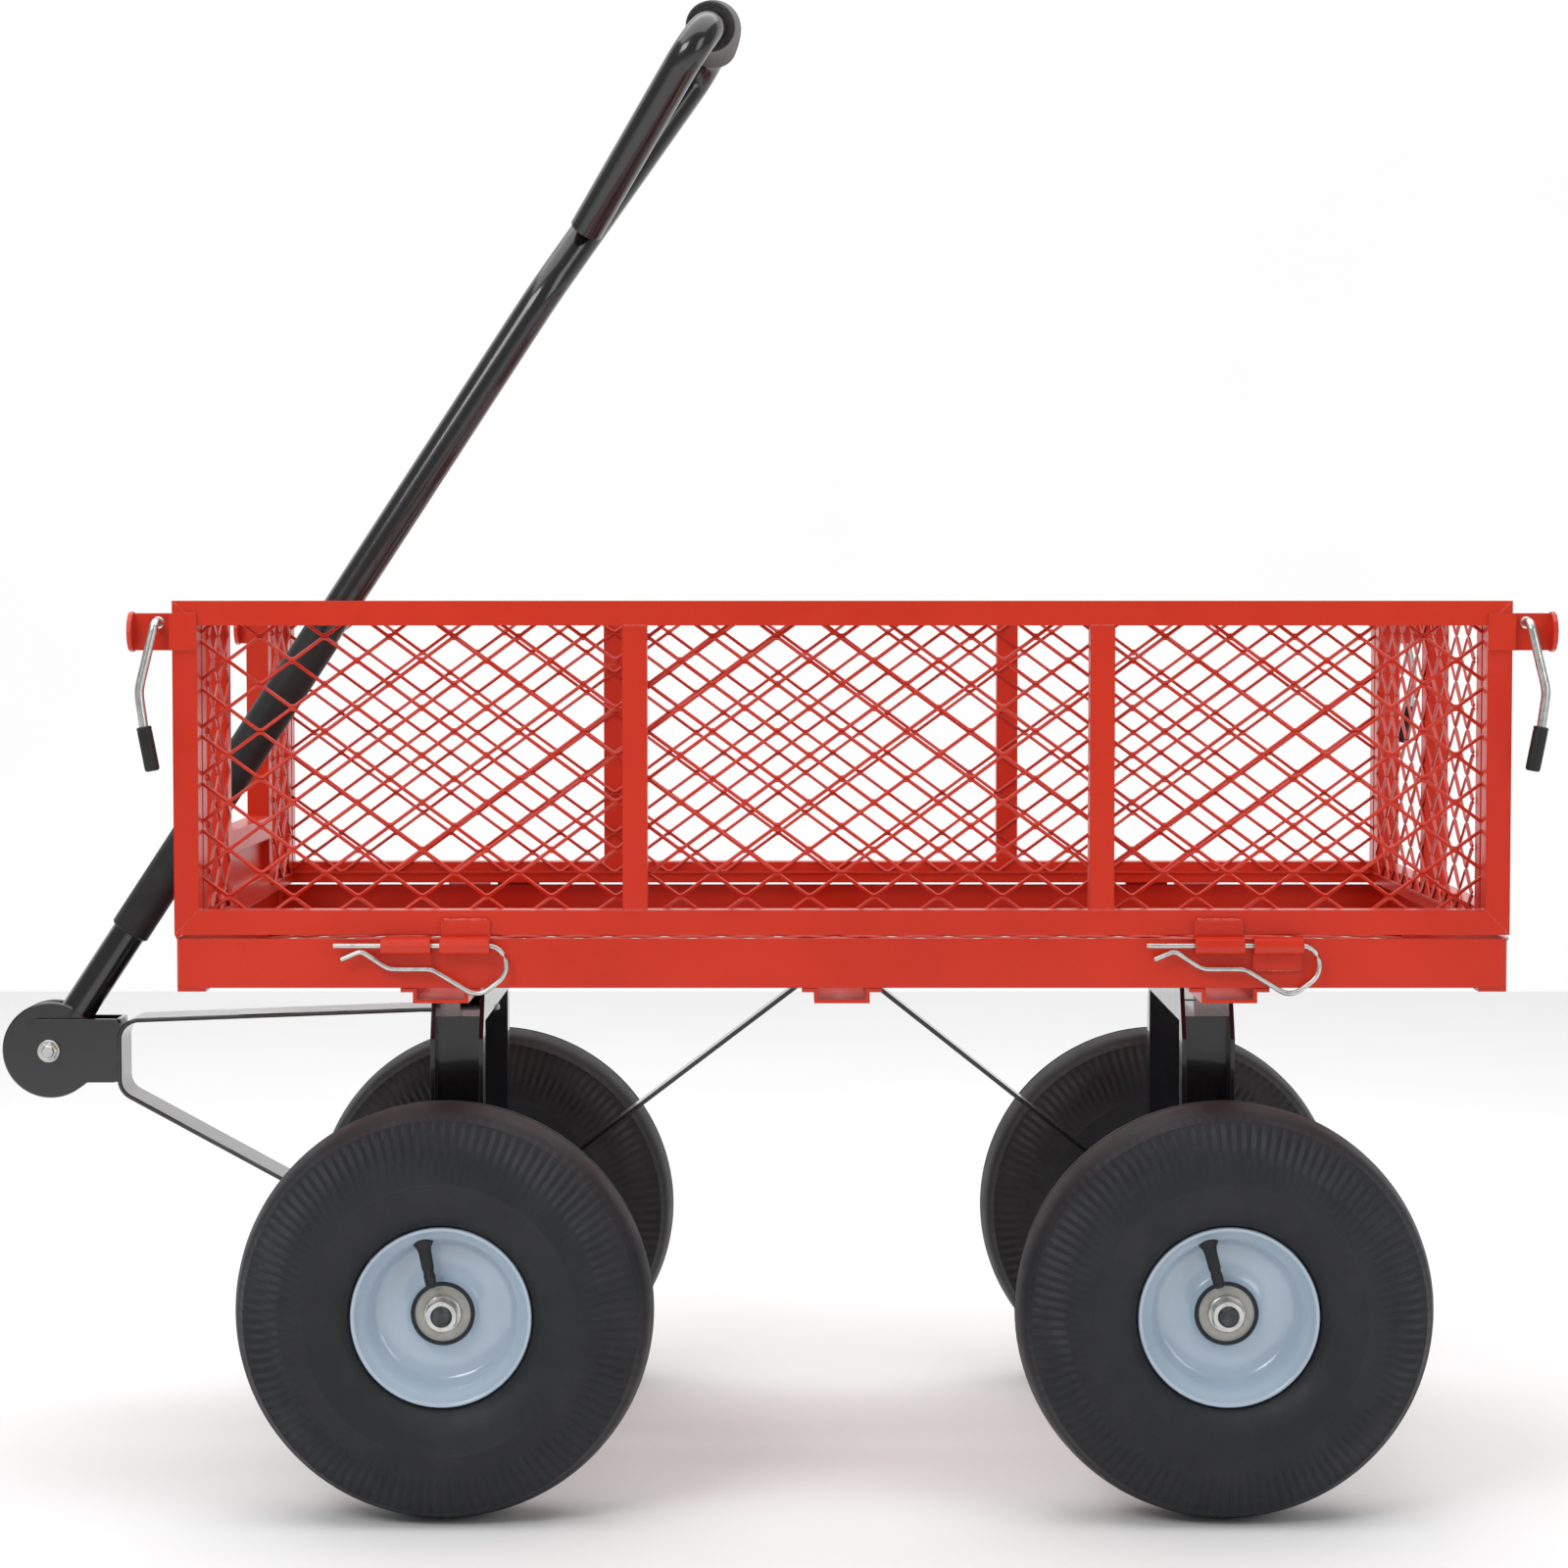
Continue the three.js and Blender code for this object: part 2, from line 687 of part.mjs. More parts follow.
function rim() {
  const bore = bearingRadius + gap;
  const half = [
    [rimRadius, rimHalfWidth], [rimRadius - rimLip, rimHalfWidth],
    [rimRadius - rimDishDepth, rimDiscHalf], [hubRadius, rimDiscHalf],
    [hubRadius, hubHalfLength], [bore, hubHalfLength],
  ];
  const otherHalf = half.map(([radius, y]) => [radius, -y]).reverse();
  return turned([...half, ...otherHalf], rimSides);
}

function hubBearing() {
  return ringY(axleRadius + runningGap, bearingRadius, -hubHalfLength, hubHalfLength, rimSides);
}

function axleNut() {
  const bore = axleEndRadius + gap;
  const nutRadius = nutAcrossFlats / 2 / Math.cos(Math.PI / 6);
  const washer = rodY(washerRadius, 0, washerGauge, smallSides);
  const nut = rodY(nutRadius, washerGauge / 2, washerGauge + nutHeight, 6);
  return cut(join([washer, nut]), [rodY(bore, -1, washerGauge + nutHeight + 1, roundSides)]);
}

// --------------------------------------------------------------- undercarriage

// Round axle with a stop collar and a threaded end on each side and a block in
// the middle, bored for the bolt that holds it up. blockTop is above its centre.
function axle(blockTop) {
  const hubInner = track / 2 - hubHalfLength;
  const hubOuter = track / 2 + hubHalfLength;
  const tip = hubOuter + washerGauge + nutHeight + 2;
  const half = axleBlockLength / 2;
  const pieces = [
    rodY(axleRadius, -hubOuter, hubOuter),
    rodY(axleEndRadius, -tip, tip),
    block([-bolsterWidth / 2 + 2, -half, -axleRadius], [bolsterWidth / 2 - 2, half, blockTop]),
  ];
  for (const sign of [-1, 1]) {
    const [low, high] = span(sign, hubInner - axleCollar, hubInner - runningGap);
    pieces.push(rodY(axleRadius + 3, low, high));
  }
  const bore = rodZ(boltRadius + gap, -axleRadius - 1, blockTop + 1);
  return cut(join(pieces), [bore]);
}

// Channel bent into a gate under the bed, flanges outwards, closed by a plate
// across its foot. The flanges' outer top corners are cut off.
function bolster() {
  const halfX = bolsterWidth / 2;
  const halfY = bolsterSpan / 2;
  const wall = bolsterWall;
  const flangeY = halfY + bolsterFlange;
  const flangeTop = crossMemberFoot - gap;
  const bite = wall / 2;           // flange's edge inside the channel's wall
  const pieces = [
    block([-halfX, -halfY, bolsterFoot], [halfX, halfY, webTop]),
  ];
  const outline = [
    [flangeY, bolsterFoot + 1], [flangeY, webTop - bolsterFlange], [halfY - wall, flangeTop],
    [-halfY + wall, flangeTop], [-flangeY, webTop - bolsterFlange], [-flangeY, bolsterFoot + 1],
  ];
  const flange = new THREE.Shape(outline.map(([y, z]) => new THREE.Vector2(y, z)));
  for (const x of [-halfX, halfX - wall]) {
    const settings = { depth: wall, bevelEnabled: false };
    const plate = new THREE.ExtrudeGeometry(flange, settings);
    pieces.push(plate.rotateX(Math.PI / 2).rotateZ(Math.PI / 2).translate(x, 0, 0));
  }
  const opening = block(
    [-halfX - bite, -halfY + wall, bolsterPlateTop],
    [halfX + bite, halfY - wall, webFoot],
  );
  const bore = rodZ(boltRadius + gap, bolsterFoot - 1, webTop + 1);
  return cut(join(pieces), [opening, bore]);
}

// Bolt along Z with a round head at the top and a nut near the bottom.
function bolt(low, high) {
  const nutFoot = low + boltTail;
  return join([
    rodZ(boltRadius, low, high + 1),
    rodZ(boltHeadRadius, high, high + boltHeadHeight, wireSides),
    rodZ(boltHeadRadius, nutFoot, nutFoot + boltNutHeight, wireSides),
  ]);
}

// Flat bar from under the middle cross member down to a bolster's foot plate.
function brace(sign, axleX) {
  const high = crossMemberFoot - gap - braceGauge / 2;
  const low = bolsterPlateTop + gap + braceGauge / 2;
  const reach = Math.abs(axleX);
  const corners = [
    [sign, high, 0], [sign * braceTab, high, 4], [sign * (reach - braceEye), low, 4],
    [sign * (reach + braceEye), low, 0],
  ];
  const route = rounded(corners.map(([x, z, radius]) => [new THREE.Vector3(x, 0, z), radius]));
  const bore = rodZ(boltRadius + gap, low - 5, low + 5).translate(axleX, 0, 0);
  return cut(strip(route, braceGauge, braceWidth), [bore]);
}

// ---------------------------------------------------------- tongue and handle

// Flat bar bent to a wedge: its upper eye turns on the bolt under the bolster's
// web, its lower eye on the bolt through the axle. The clevis is welded to its front.
function tongue() {
  const upperZ = webFoot - gap - tongueGauge / 2;
  const lowerZ = (bolsterFoot + axleHeight + axleRadius) / 2;
  const corners = [
    [frontAxleX + tongueEye, upperZ, 0], [frontAxleX - 34, upperZ, 60],
    [tongueFrontX, upperZ - 8, tongueBend], [tongueFrontX, tongueLowerZ, tongueBend],
    [frontAxleX - 58, lowerZ, 20], [frontAxleX + tongueEye, lowerZ, 0],
  ];
  const route = rounded(corners.map(([x, z, radius]) => [new THREE.Vector3(x, 0, z), radius]));
  const bores = [upperZ, lowerZ].map((z) => (
    rodZ(boltRadius + runningGap, z - 4, z + 4).translate(frontAxleX, 0, 0)
  ));
  return cut(join([strip(route, tongueGauge, tongueWidth), clevis()]), bores);
}

function clevis() {
  const back = tongueFrontX;
  const nose = handlePivotX - clevisNose;
  const middle = handlePivotZ;
  const low = middle - clevisHeight / 2;
  const high = middle + clevisHeight / 2;
  const outer = clevisGap / 2 + clevisWall;
  const pieces = [block([back - clevisWall, -outer, low], [back, outer, high])];
  for (const sign of [-1, 1]) {
    const [inside, outside] = span(sign, clevisGap / 2, outer);
    pieces.push(block([nose, inside, low], [back - 1, outside, high]));
  }
  const bore = rodY(boltRadius + gap, -outer - 1, outer + 1).translate(handlePivotX, 0, middle);
  return cut(join(pieces), [bore]);
}

function handleBolt() {
  const outer = clevisGap / 2 + clevisWall + gap;
  return join([
    rodY(boltRadius, -outer - 5, outer + 1),
    rodY(boltHeadRadius, outer, outer + 5, wireSides),
    rodY(boltHeadRadius - 1, -outer - 1.6, -outer),
    rodY(boltHeadRadius - 2, -outer - 4, -outer - 1, wireSides),
  ]);
}

const shaftDirection = new THREE.Vector3(
  Math.cos(THREE.MathUtils.degToRad(handleLean)), 0, Math.sin(THREE.MathUtils.degToRad(handleLean)),
);

// Point of the handle's plane: how far up the shaft, and how far across it.
function onHandle(along, across) {
  return shaftDirection.clone().multiplyScalar(along).add(new THREE.Vector3(0, across, 0));
}

function loopRoute() {
  return rounded([
    [onHandle(shaftStart, 0), 0],
    [onHandle(shaftStraight, 0), shaftBend],
    [onHandle(loopShoulder, loopHalfWidth), loopCornerBend],
    [onHandle(loopCrown, 0), loopCrownBend],
    [onHandle(loopShoulder, -loopHalfWidth), loopCornerBend],
    [onHandle(loopEnd, loopEndAcross), 0],
  ]);
}

// Bent tube with the winding drum on its foot. The loop's free end is welded
// to the shaft's side.
function handleShaft() {
  const half = clevisGap / 2 - runningGap;
  const inner = drumRadius - drumGroove;
  const hub = boltRadius + runningGap;
  const disc = half - drumDiscGauge;
  const drum = turned([
    [hub, -half], [drumRadius, -half], [drumRadius, -disc], [inner, -disc],
    [inner, disc], [drumRadius, disc], [drumRadius, half], [hub, half],
  ], drumSides);
  return join([sweep(loopRoute(), handleTube, tubeSides), drum]);
}

function handleSleeve() {
  const across = new THREE.Vector3(0, 1, 0);
  const leaning = new THREE.Quaternion().setFromUnitVectors(across, shaftDirection);
  return ringY(boreRound(handleTube), handleSleeveRadius, sleeveStart, sleeveEnd, tubeSides)
    .applyQuaternion(leaning);
}

// Foam tube on the bowed bar of the loop.
function handleGrip() {
  const bow = rounded([
    [onHandle(loopShoulder, loopHalfWidth), 0],
    [onHandle(loopCrown, 0), loopCrownBend],
    [onHandle(loopShoulder, -loopHalfWidth), 0],
  ]);
  const inside = bow.slice(1, -1);
  return sweep(inside, gripRadius, tubeSides, boreRound(handleTube));
}

// ------------------------------------------------------------------- assembly

add('bed_frame', bedFrame(), redPaint);
add('floor_mesh', floorSheet(), redPaint);

const crossMembers = { front: frontAxleX, middle: 0, rear: rearAxleX };
for (const [place, x] of Object.entries(crossMembers)) {
  add(`cross_member_${place}`, crossMember(), redPaint).position.x = x;
}

function addLatch(side, place, sign, group) {
  const y = -halfWidth + latchStripInset + latchStripGauge / 2;
  const at = [sign * (halfLength + latchPivotOut), y, latchPivotZ];
  add(`latch_lever_${side}_${place}`, latchLever(sign), zinc, group).position.set(...at);
  add(`latch_grip_${side}_${place}`, latchGrip(sign), gripRubber, group).position.set(...at);
}

function addClips(side, spacing, lineY, group) {
  hingePlaces(spacing).forEach(([x], index) => {
    const clip = add(`hinge_clip_${side}_${index + 1}`, hairpinClip(), zinc, group);
    clip.position.set(x, lineY, hingeHeight);
  });
}

// Both side panels are the same part, the right one turned end for end.
for (const side of ['left', 'right']) {
  const group = new THREE.Group();
  group.rotation.z = side === 'left' ? 0 : Math.PI;
  wagon.add(group);
  add(`${side}_panel_frame`, sideFrame(), redPaint, group);
  add(`${side}_panel_mesh`, sideSheet(), redPaint, group);
  addClips(side, hingeSpacingSide, -halfWidth - hingeOffset, group);
  const leading = side === 'left' ? -1 : 1;
  addLatch(side, 'front', leading, group);
  addLatch(side, 'rear', -leading, group);
}

const slotEdge = notchWidth / 2;
add('front_panel_frame', frontFrame(), redPaint);
add('front_panel_mesh_left', endSheet(-endHalfWidth, -slotEdge), redPaint);
add('front_panel_mesh_right', endSheet(slotEdge, endHalfWidth), redPaint);

const rearPanel = new THREE.Group();
rearPanel.rotation.z = Math.PI;
wagon.add(rearPanel);
add('rear_panel_frame', rearFrame(), redPaint, rearPanel);
add('rear_panel_mesh', endSheet(-endHalfWidth, endHalfWidth), redPaint, rearPanel);

for (const [place, turn] of [['front', -Math.PI / 2], ['rear', Math.PI / 2]]) {
  const group = new THREE.Group();
  group.rotation.z = turn;
  wagon.add(group);
  addClips(place, hingeSpacingEnd, -halfLength - hingeOffset, group);
}

const axleGap = bolsterFoot - axleHeight;
add('front_bolster', bolster(), blackPaint).position.x = frontAxleX;
add('rear_bolster', bolster(), blackPaint).position.x = rearAxleX;
add('front_brace', brace(-1, frontAxleX), blackPaint);
add('rear_brace', brace(1, rearAxleX), blackPaint);
add('front_axle', axle(axleRadius), blackPaint).position.set(frontAxleX, 0, axleHeight);
add('rear_axle', axle(axleGap - gap), blackPaint).position.set(rearAxleX, 0, axleHeight);

const boltTop = bolsterPlateTop + braceGauge + 2 * gap;
const boltFoot = axleHeight - axleRadius - boltNutHeight - boltTail - 1;
const kingFoot = webFoot - tongueGauge - gap - boltNutHeight - boltTail - 3;
add('upper_king_bolt', bolt(kingFoot, webTop + gap), zinc).position.x = frontAxleX;
add('lower_king_bolt', bolt(boltFoot, boltTop), zinc).position.x = frontAxleX;
add('rear_axle_bolt', bolt(boltFoot, boltTop), zinc).position.x = rearAxleX;

add('tongue', tongue(), blackPaint);
add('handle_bolt', handleBolt(), zinc).position.set(handlePivotX, 0, handlePivotZ);

const handle = new THREE.Group();
handle.position.set(handlePivotX, 0, handlePivotZ);
wagon.add(handle);
add('handle_shaft', handleShaft(), blackPaint, handle);
add('handle_sleeve', handleSleeve(), blackPaint, handle);
add('handle_grip', handleGrip(), gripFoam, handle);

const wheelPlaces = [
  ['front_left', frontAxleX, -1], ['front_right', frontAxleX, 1],
  ['rear_left', rearAxleX, -1], ['rear_right', rearAxleX, 1],
];
for (const [place, x, side] of wheelPlaces) {
  const wheel = new THREE.Group();
  wheel.position.set(x, (side * track) / 2, axleHeight);
  wagon.add(wheel);
  add(`${place}_tyre`, tyre(), tyreRubber, wheel);
  add(`${place}_rim`, rim(), enamel, wheel);
  add(`${place}_bearing`, hubBearing(), zinc, wheel);
  const nut = add(`${place}_axle_nut`, axleNut(), zinc, wheel);
  nut.position.y = side * (hubHalfLength + runningGap);
  if (side < 0) nut.rotation.z = Math.PI;
}

// The origin is on the ground, under the middle of the whole wagon.
const bounds = new THREE.Box3().setFromObject(wagon);
const middle = bounds.getCenter(new THREE.Vector3());
wagon.position.set(-middle.x, -middle.y, -bounds.min.z);

const part = new THREE.Group();
part.add(wagon);

export default part;
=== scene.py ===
"""Looks of the wagon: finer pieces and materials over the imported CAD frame."""

import json
import math

import bpy
from mathutils import Matrix, Vector


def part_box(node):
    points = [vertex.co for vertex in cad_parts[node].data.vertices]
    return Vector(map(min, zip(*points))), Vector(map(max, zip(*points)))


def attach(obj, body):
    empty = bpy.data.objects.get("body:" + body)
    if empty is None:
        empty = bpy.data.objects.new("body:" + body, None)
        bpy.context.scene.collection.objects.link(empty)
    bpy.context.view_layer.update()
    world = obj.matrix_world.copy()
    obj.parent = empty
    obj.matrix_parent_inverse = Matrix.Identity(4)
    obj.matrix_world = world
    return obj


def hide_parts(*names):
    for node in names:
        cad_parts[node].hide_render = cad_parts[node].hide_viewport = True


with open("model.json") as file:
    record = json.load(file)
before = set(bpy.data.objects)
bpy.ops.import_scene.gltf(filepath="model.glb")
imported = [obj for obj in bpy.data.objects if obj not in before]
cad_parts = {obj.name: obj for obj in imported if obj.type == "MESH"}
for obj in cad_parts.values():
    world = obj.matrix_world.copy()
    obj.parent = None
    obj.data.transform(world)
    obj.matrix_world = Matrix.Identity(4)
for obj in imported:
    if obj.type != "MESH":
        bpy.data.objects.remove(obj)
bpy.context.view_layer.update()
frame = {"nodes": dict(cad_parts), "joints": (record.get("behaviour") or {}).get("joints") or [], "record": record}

MM = 0.001

# Expanded sheet: pitch, strand and gauge of the real sheet
MESH_PITCH = 42 * MM
MESH_RISE = 31 * MM
STRAND_WIDTH = 2.1 * MM
STRAND_GAUGE = 1.4 * MM
BOND_LENGTH = 3 * MM

# Panels, repeated from the CAD
SHEET_LAP = 8 * MM
FRAME_TUBE = 16 * MM
SIDE_BAYS = (298 * MM, 264 * MM)

HINGE_SPACING = 525 * MM
HINGE_PLATE = 16 * MM
CLIP_WIRE = 1.7 * MM          # radius

# Tongue, repeated from the CAD
TONGUE_FRONT = 247.5 * MM     # its front ahead of the front axle
TONGUE_DROP = 58 * MM
TONGUE_HALF = 20 * MM
TONGUE_GAUGE = 3 * MM
TONGUE_EYE = 20 * MM          # its ends behind the front axle
TONGUE_UPPER_BEND = 34 * MM   # its bends ahead of the front axle
TONGUE_LOWER_BEND = 58 * MM
CLEVIS_GAP = 25 * MM
CLEVIS_GAUGE = 3 * MM
CLEVIS_HEIGHT = 45 * MM
CLEVIS_NOSE = 14 * MM         # cheeks in front of the handle's pivot
CLEVIS_CORNER = 5 * MM

# Tyre and rim
TREAD_GROOVES = 116
TREAD_STEPS = 4               # facets to a groove
GROOVE_DEPTH = 1.3 * MM
GROOVE_FALL = 0.35            # share of that depth cut towards the axle
RIB_WAVES = 58
RIB_SWING = 0.9 * MM
CROWN_CUT = 0.8 * MM
SHOULDER_RINGS = range(8, 13) # points of TYRE_HALF that the grooves cut
RIB_RINGS = range(13, 17)     # and those that the ribs wave
CROWN_RING = 17

# Sections as (radius, y) in millimetres, y from the wheel's middle plane. The tyre's and
# the rim's are fitted to the CAD from the sizes that they are drawn at.
DRAWN_BEAD = 62
DRAWN_DEPTH = 75
DRAWN_HALF_WIDTH = 44
DRAWN_RIM = 61
TYRE_HALF = [
    (62, 29), (64, 33), (70, 38), (80, 41.8), (88, 43.2), (90, 44), (92, 43.2), (98, 43.1),
    (105, 42.2), (107, 42.4), (114, 40.2), (121, 36.4), (127, 32.0), (128.5, 30.6),
    (129.6, 29.0), (130.6, 27.0), (131.6, 25.6), (132, 24.4), (133.2, 22), (135, 15),
    (136.4, 8), (137, 2.2), (135.6, 1.2),
]
RIM_OUTLINE = [
    (61, 28), (61.2, 30), (60.4, 31), (59, 31), (58, 30), (57.4, 28), (54, 25), (51.5, 21),
    (49.6, 14), (47.5, 8), (44, 4.4), (38, 3.2), (30, 4.4), (25, 6.5), (22.6, 10),
    (21.6, 15), (21, 16), (18.2, 16), (18.2, -16), (21, -16), (21.6, -15), (22.6, -10),
    (25, -8.5), (30, -7.0), (44, -7.0), (47.5, -9), (49.6, -14), (51.5, -21), (54, -25),
    (57.4, -28), (58, -30), (59, -31), (60.4, -31), (61.2, -30), (61, -28), (56, -22),
    (52, -14), (51, 0), (52, 14), (56, 22),
]
BEARING_FACE = [
    (9, 15.2), (9.6, 16), (12, 16), (12.4, 15.6), (17.2, 15.6), (17.9, 15.2), (17.9, 2), (9, 2),
]
SEAL = [(17.9, 15.8), (18.4, 16.8), (20.4, 16.8), (21, 15.9), (20, 14.8), (18, 14.8)]

# Valve: section as (radius, height) and its ends from the wheel's middle, in millimetres
VALVE = [
    (0, 33), (2.6, 32.6), (3.6, 31.4), (3.9, 24), (3.5, 23.4), (3.5, 21), (4.0, 20),
    (4.2, 9), (4.8, 6), (6.6, 3), (7.4, 0),
]
VALVE_FOOT = (-13, 17, 49)
VALVE_TIP = (-5.5, 29, 17.5)

# Axles and fastenings, as (radius, y) in millimetres
AXLE_HALF = [
    (8, 0), (8, 184.8), (11, 185), (11, 190.2), (8, 190.4), (8, 222.8), (6.9, 223),
]
AXLE_END = 6.9                # radius
AXLE_BLOCK = (16, 8, 30)      # half its width, its foot below the axle, half its length
AXLE_WASHER = [(7.6, 0), (11.4, 0), (12, 0.5), (12, 1.6), (11.4, 2), (7.6, 2)]
NUT_FLAT = 9.6                # half across the flats
NUT_CORNER = 11.0             # radius that its corners are turned to
NUT_BORE = 6.95
NUT_SIDES = 48
NUT_LEVELS = ((2, 0.5), (2.5, 0), (9.8, 0), (11, 1.2))    # (y, chamfer)
BOLT_WASHER = [(4.9, 3.4), (7.6, 3.4), (8, 3.8), (8, 4.8), (7.6, 5), (4.9, 5)]
BOLT_NUT_FLATS = 11 * MM
BOLT_HEAD_FLATS = 15.5 * MM
BOLT_HEAD_HEIGHT = 5.2 * MM

# Latch levers: hanging arm as (along, up) from the pivot, and its grip, in millimetres
LEVER_IN = 7
LEVER_TURN = 14               # where the rod turns down, outside the pivot
LEVER_OUT = 18
LEVER_HANG = ((10, -44), (7, -66), (2, -92))
LEVER_ROD = 3 * MM            # radius
LEVER_TURN_BEND = 6 * MM
LEVER_BEND = 30 * MM
LEVER_GRIP = [
    (0.05, -3.3), (3.6, -3.3), (4.6, -2.4), (4.8, -1), (4.8, 22.4), (4.6, 23.6), (4.9, 24),
    (4.9, 25), (4.2, 25.7), (3.2, 25.7),
]

# Handle, repeated from the CAD
LEAN = math.radians(56.7)
SHAFT_START = 28 * MM
SHAFT_STRAIGHT = 640 * MM
SHAFT_BEND = 100 * MM
TUBE = 12 * MM
SLEEVE = (100 * MM, 353 * MM)
SLEEVE_RADIUS = 14 * MM
LOOP_SHOULDER = (844 * MM, 76 * MM)
LOOP_CROWN = 868 * MM
LOOP_END = (694 * MM, 4 * MM)
CORNER_BEND = 24 * MM
CROWN_BEND = 140 * MM
GRIP_RADIUS = 17.5 * MM
DRUM = [                      # (radius, y) in millimetres
    (5.6, -11.9), (33, -11.9), (34, -10.9), (34, -7.9), (33, -6.9), (30, -6.9), (30, 6.9),
    (33, 6.9), (34, 7.9), (34, 10.9), (33, 11.9), (5.6, 11.9),
]

# Welds: radius of the beads
UPRIGHT_BEAD = 0.9 * MM
MITRE_BEAD = 0.7 * MM
HINGE_BEAD = 1.6 * MM

# Camera and lights: name, place, size and power in watts
CAMERA_PLACE = (0.0283, -2.528, 0.5968)
CAMERA_TILT = math.radians(87.17)
CAMERA_LENS = 81.86
LIGHT_TARGET = (0, 0, 0.4)
LIGHTS = [
    ("key", (-1.5, -2.4, 2.3), (1.4, 1.0), 30),
    ("fill", (2.3, -2.3, 1.3), (1.2, 1.6), 14),
    ("top", (0, 0, 3.0), (4.5, 3.2), 85),
]
WORLD_STRENGTH = 0.32
FLOOR_HALF = 7.0
WALL_PLACE = 3.0

WHEELS = {"front_left": -1, "front_right": 1, "rear_left": -1, "rear_right": 1}


# ------------------------------------------------------------------ materials

class Shader:
    """A material's node tree with short calls for the nodes used here."""

    def __init__(self, name):
        self.material = bpy.data.materials.new(name)
        self.material.use_nodes = True
        self.nodes = self.material.node_tree.nodes
        self.links = self.material.node_tree.links
        self.base = self.nodes["Principled BSDF"]
        self.place = self.nodes.new("ShaderNodeTexCoord").outputs["Object"]

    def set(self, **values):
        for name, value in values.items():
            self.base.inputs[name.replace("_", " ")].default_value = value
        return self

    def noise(self, scale, detail=4.0, roughness=0.5):
        node = self.nodes.new("ShaderNodeTexNoise")
        node.inputs["Scale"].default_value = scale
        node.inputs["Detail"].default_value = detail
        node.inputs["Roughness"].default_value = roughness
        self.links.new(self.place, node.inputs["Vector"])
        return node.outputs["Fac"]

    def ramp(self, factor, stops):
        node = self.nodes.new("ShaderNodeValToRGB")
        ramp = node.color_ramp
        while len(ramp.elements) < len(stops):
            ramp.elements.new(0.5)
        for element, (position, color) in zip(ramp.elements, stops):
            element.position = position
            element.color = (*color, 1)
        self.links.new(factor, node.inputs["Fac"])
        return node.outputs["Color"]

    def between(self, factor, low, high):
        node = self.nodes.new("ShaderNodeMapRange")
        node.inputs["To Min"].default_value = low
        node.inputs["To Max"].default_value = high
        self.links.new(factor, node.inputs["Value"])
        return node.outputs["Result"]

    def color(self, factor, stops):
        self.links.new(self.ramp(factor, stops), self.base.inputs["Base Color"])
        return self

    def roughness(self, factor, low, high):
        self.links.new(self.between(factor, low, high), self.base.inputs["Roughness"])
        return self

    def relief(self, factor, distance, strength=1.0, edge=None):
        """Bump from a height; edge rounds the sharp edges first."""
        bump = self.nodes.new("ShaderNodeBump")
        bump.inputs["Strength"].default_value = strength
        bump.inputs["Distance"].default_value = distance
        self.links.new(factor, bump.inputs["Height"])
        if edge:
            bevel = self.nodes.new("ShaderNodeBevel")
            bevel.samples = 6
            bevel.inputs["Radius"].default_value = edge
            self.links.new(bevel.outputs["Normal"], bump.inputs["Normal"])
        self.links.new(bump.outputs["Normal"], self.base.inputs["Normal"])
        return self


def red_paint():
    s = Shader("red_paint").set(Coat_Weight=0.2, Coat_Roughness=0.15, Specular_IOR_Level=0.35)
    s.color(s.noise(9, 3), [(0.3, (0.56, 0.020, 0.003)), (0.7, (0.64, 0.028, 0.005))])
    s.roughness(s.noise(40, 2), 0.28, 0.42)
    return s.relief(s.noise(420, 2), 0.0002, 0.35, edge=1.3 * MM).material


def black_paint():
    s = Shader("black_paint").set(Coat_Weight=0.6, Coat_Roughness=0.06)
    s.color(s.noise(12, 3), [(0.3, (0.005, 0.005, 0.006)), (0.7, (0.010, 0.010, 0.012))])
    s.roughness(s.noise(60, 2), 0.16, 0.3)
    return s.relief(s.noise(300, 2), 0.0002, 0.25, edge=0.9 * MM).material


def sleeve_coat():
    s = Shader("sleeve_coat").set(Specular_IOR_Level=0.35)
    s.color(s.noise(60, 5), [(0.3, (0.010, 0.010, 0.011)), (0.7, (0.020, 0.020, 0.022))])
    s.roughness(s.noise(90, 3), 0.42, 0.6)
    return s.relief(s.noise(700, 3), 0.0003, 0.4).material


def zinc():
    s = Shader("zinc").set(Metallic=0.95)
    tint = [(0.3, (0.50, 0.50, 0.49)), (0.55, (0.66, 0.66, 0.64)), (0.75, (0.60, 0.58, 0.52))]
    s.color(s.noise(130, 5), tint)
    s.roughness(s.noise(260, 4), 0.2, 0.42)
    return s.relief(s.noise(900, 3), 0.0002, 0.4, edge=0.5 * MM).material


def enamel():
    s = Shader("enamel").set(Coat_Weight=0.8, Coat_Roughness=0.05)
    s.color(s.noise(14, 3), [(0.3, (0.40, 0.50, 0.60)), (0.7, (0.46, 0.56, 0.66))])
    s.roughness(s.noise(50, 2), 0.16, 0.28)
    return s.relief(s.noise(160, 2), 0.0003, 0.3).material


def tyre_rubber():
    s = Shader("tyre_rubber").set(Specular_IOR_Level=0.4)
    s.color(s.noise(24, 6, 0.65), [(0.3, (0.007, 0.008, 0.010)), (0.7, (0.015, 0.016, 0.019))])
    s.roughness(s.noise(70, 5), 0.42, 0.66)
    return s.relief(s.noise(520, 5), 0.0004, 0.45).material


def bearing_face():
    s = Shader("bearing_face").set(Metallic=0.35)
    s.color(s.noise(110, 5), [(0.3, (0.33, 0.32, 0.29)), (0.7, (0.44, 0.43, 0.39))])
    s.roughness(s.noise(150, 4), 0.35, 0.55)
    return s.relief(s.noise(500, 3), 0.0003, 0.4).material


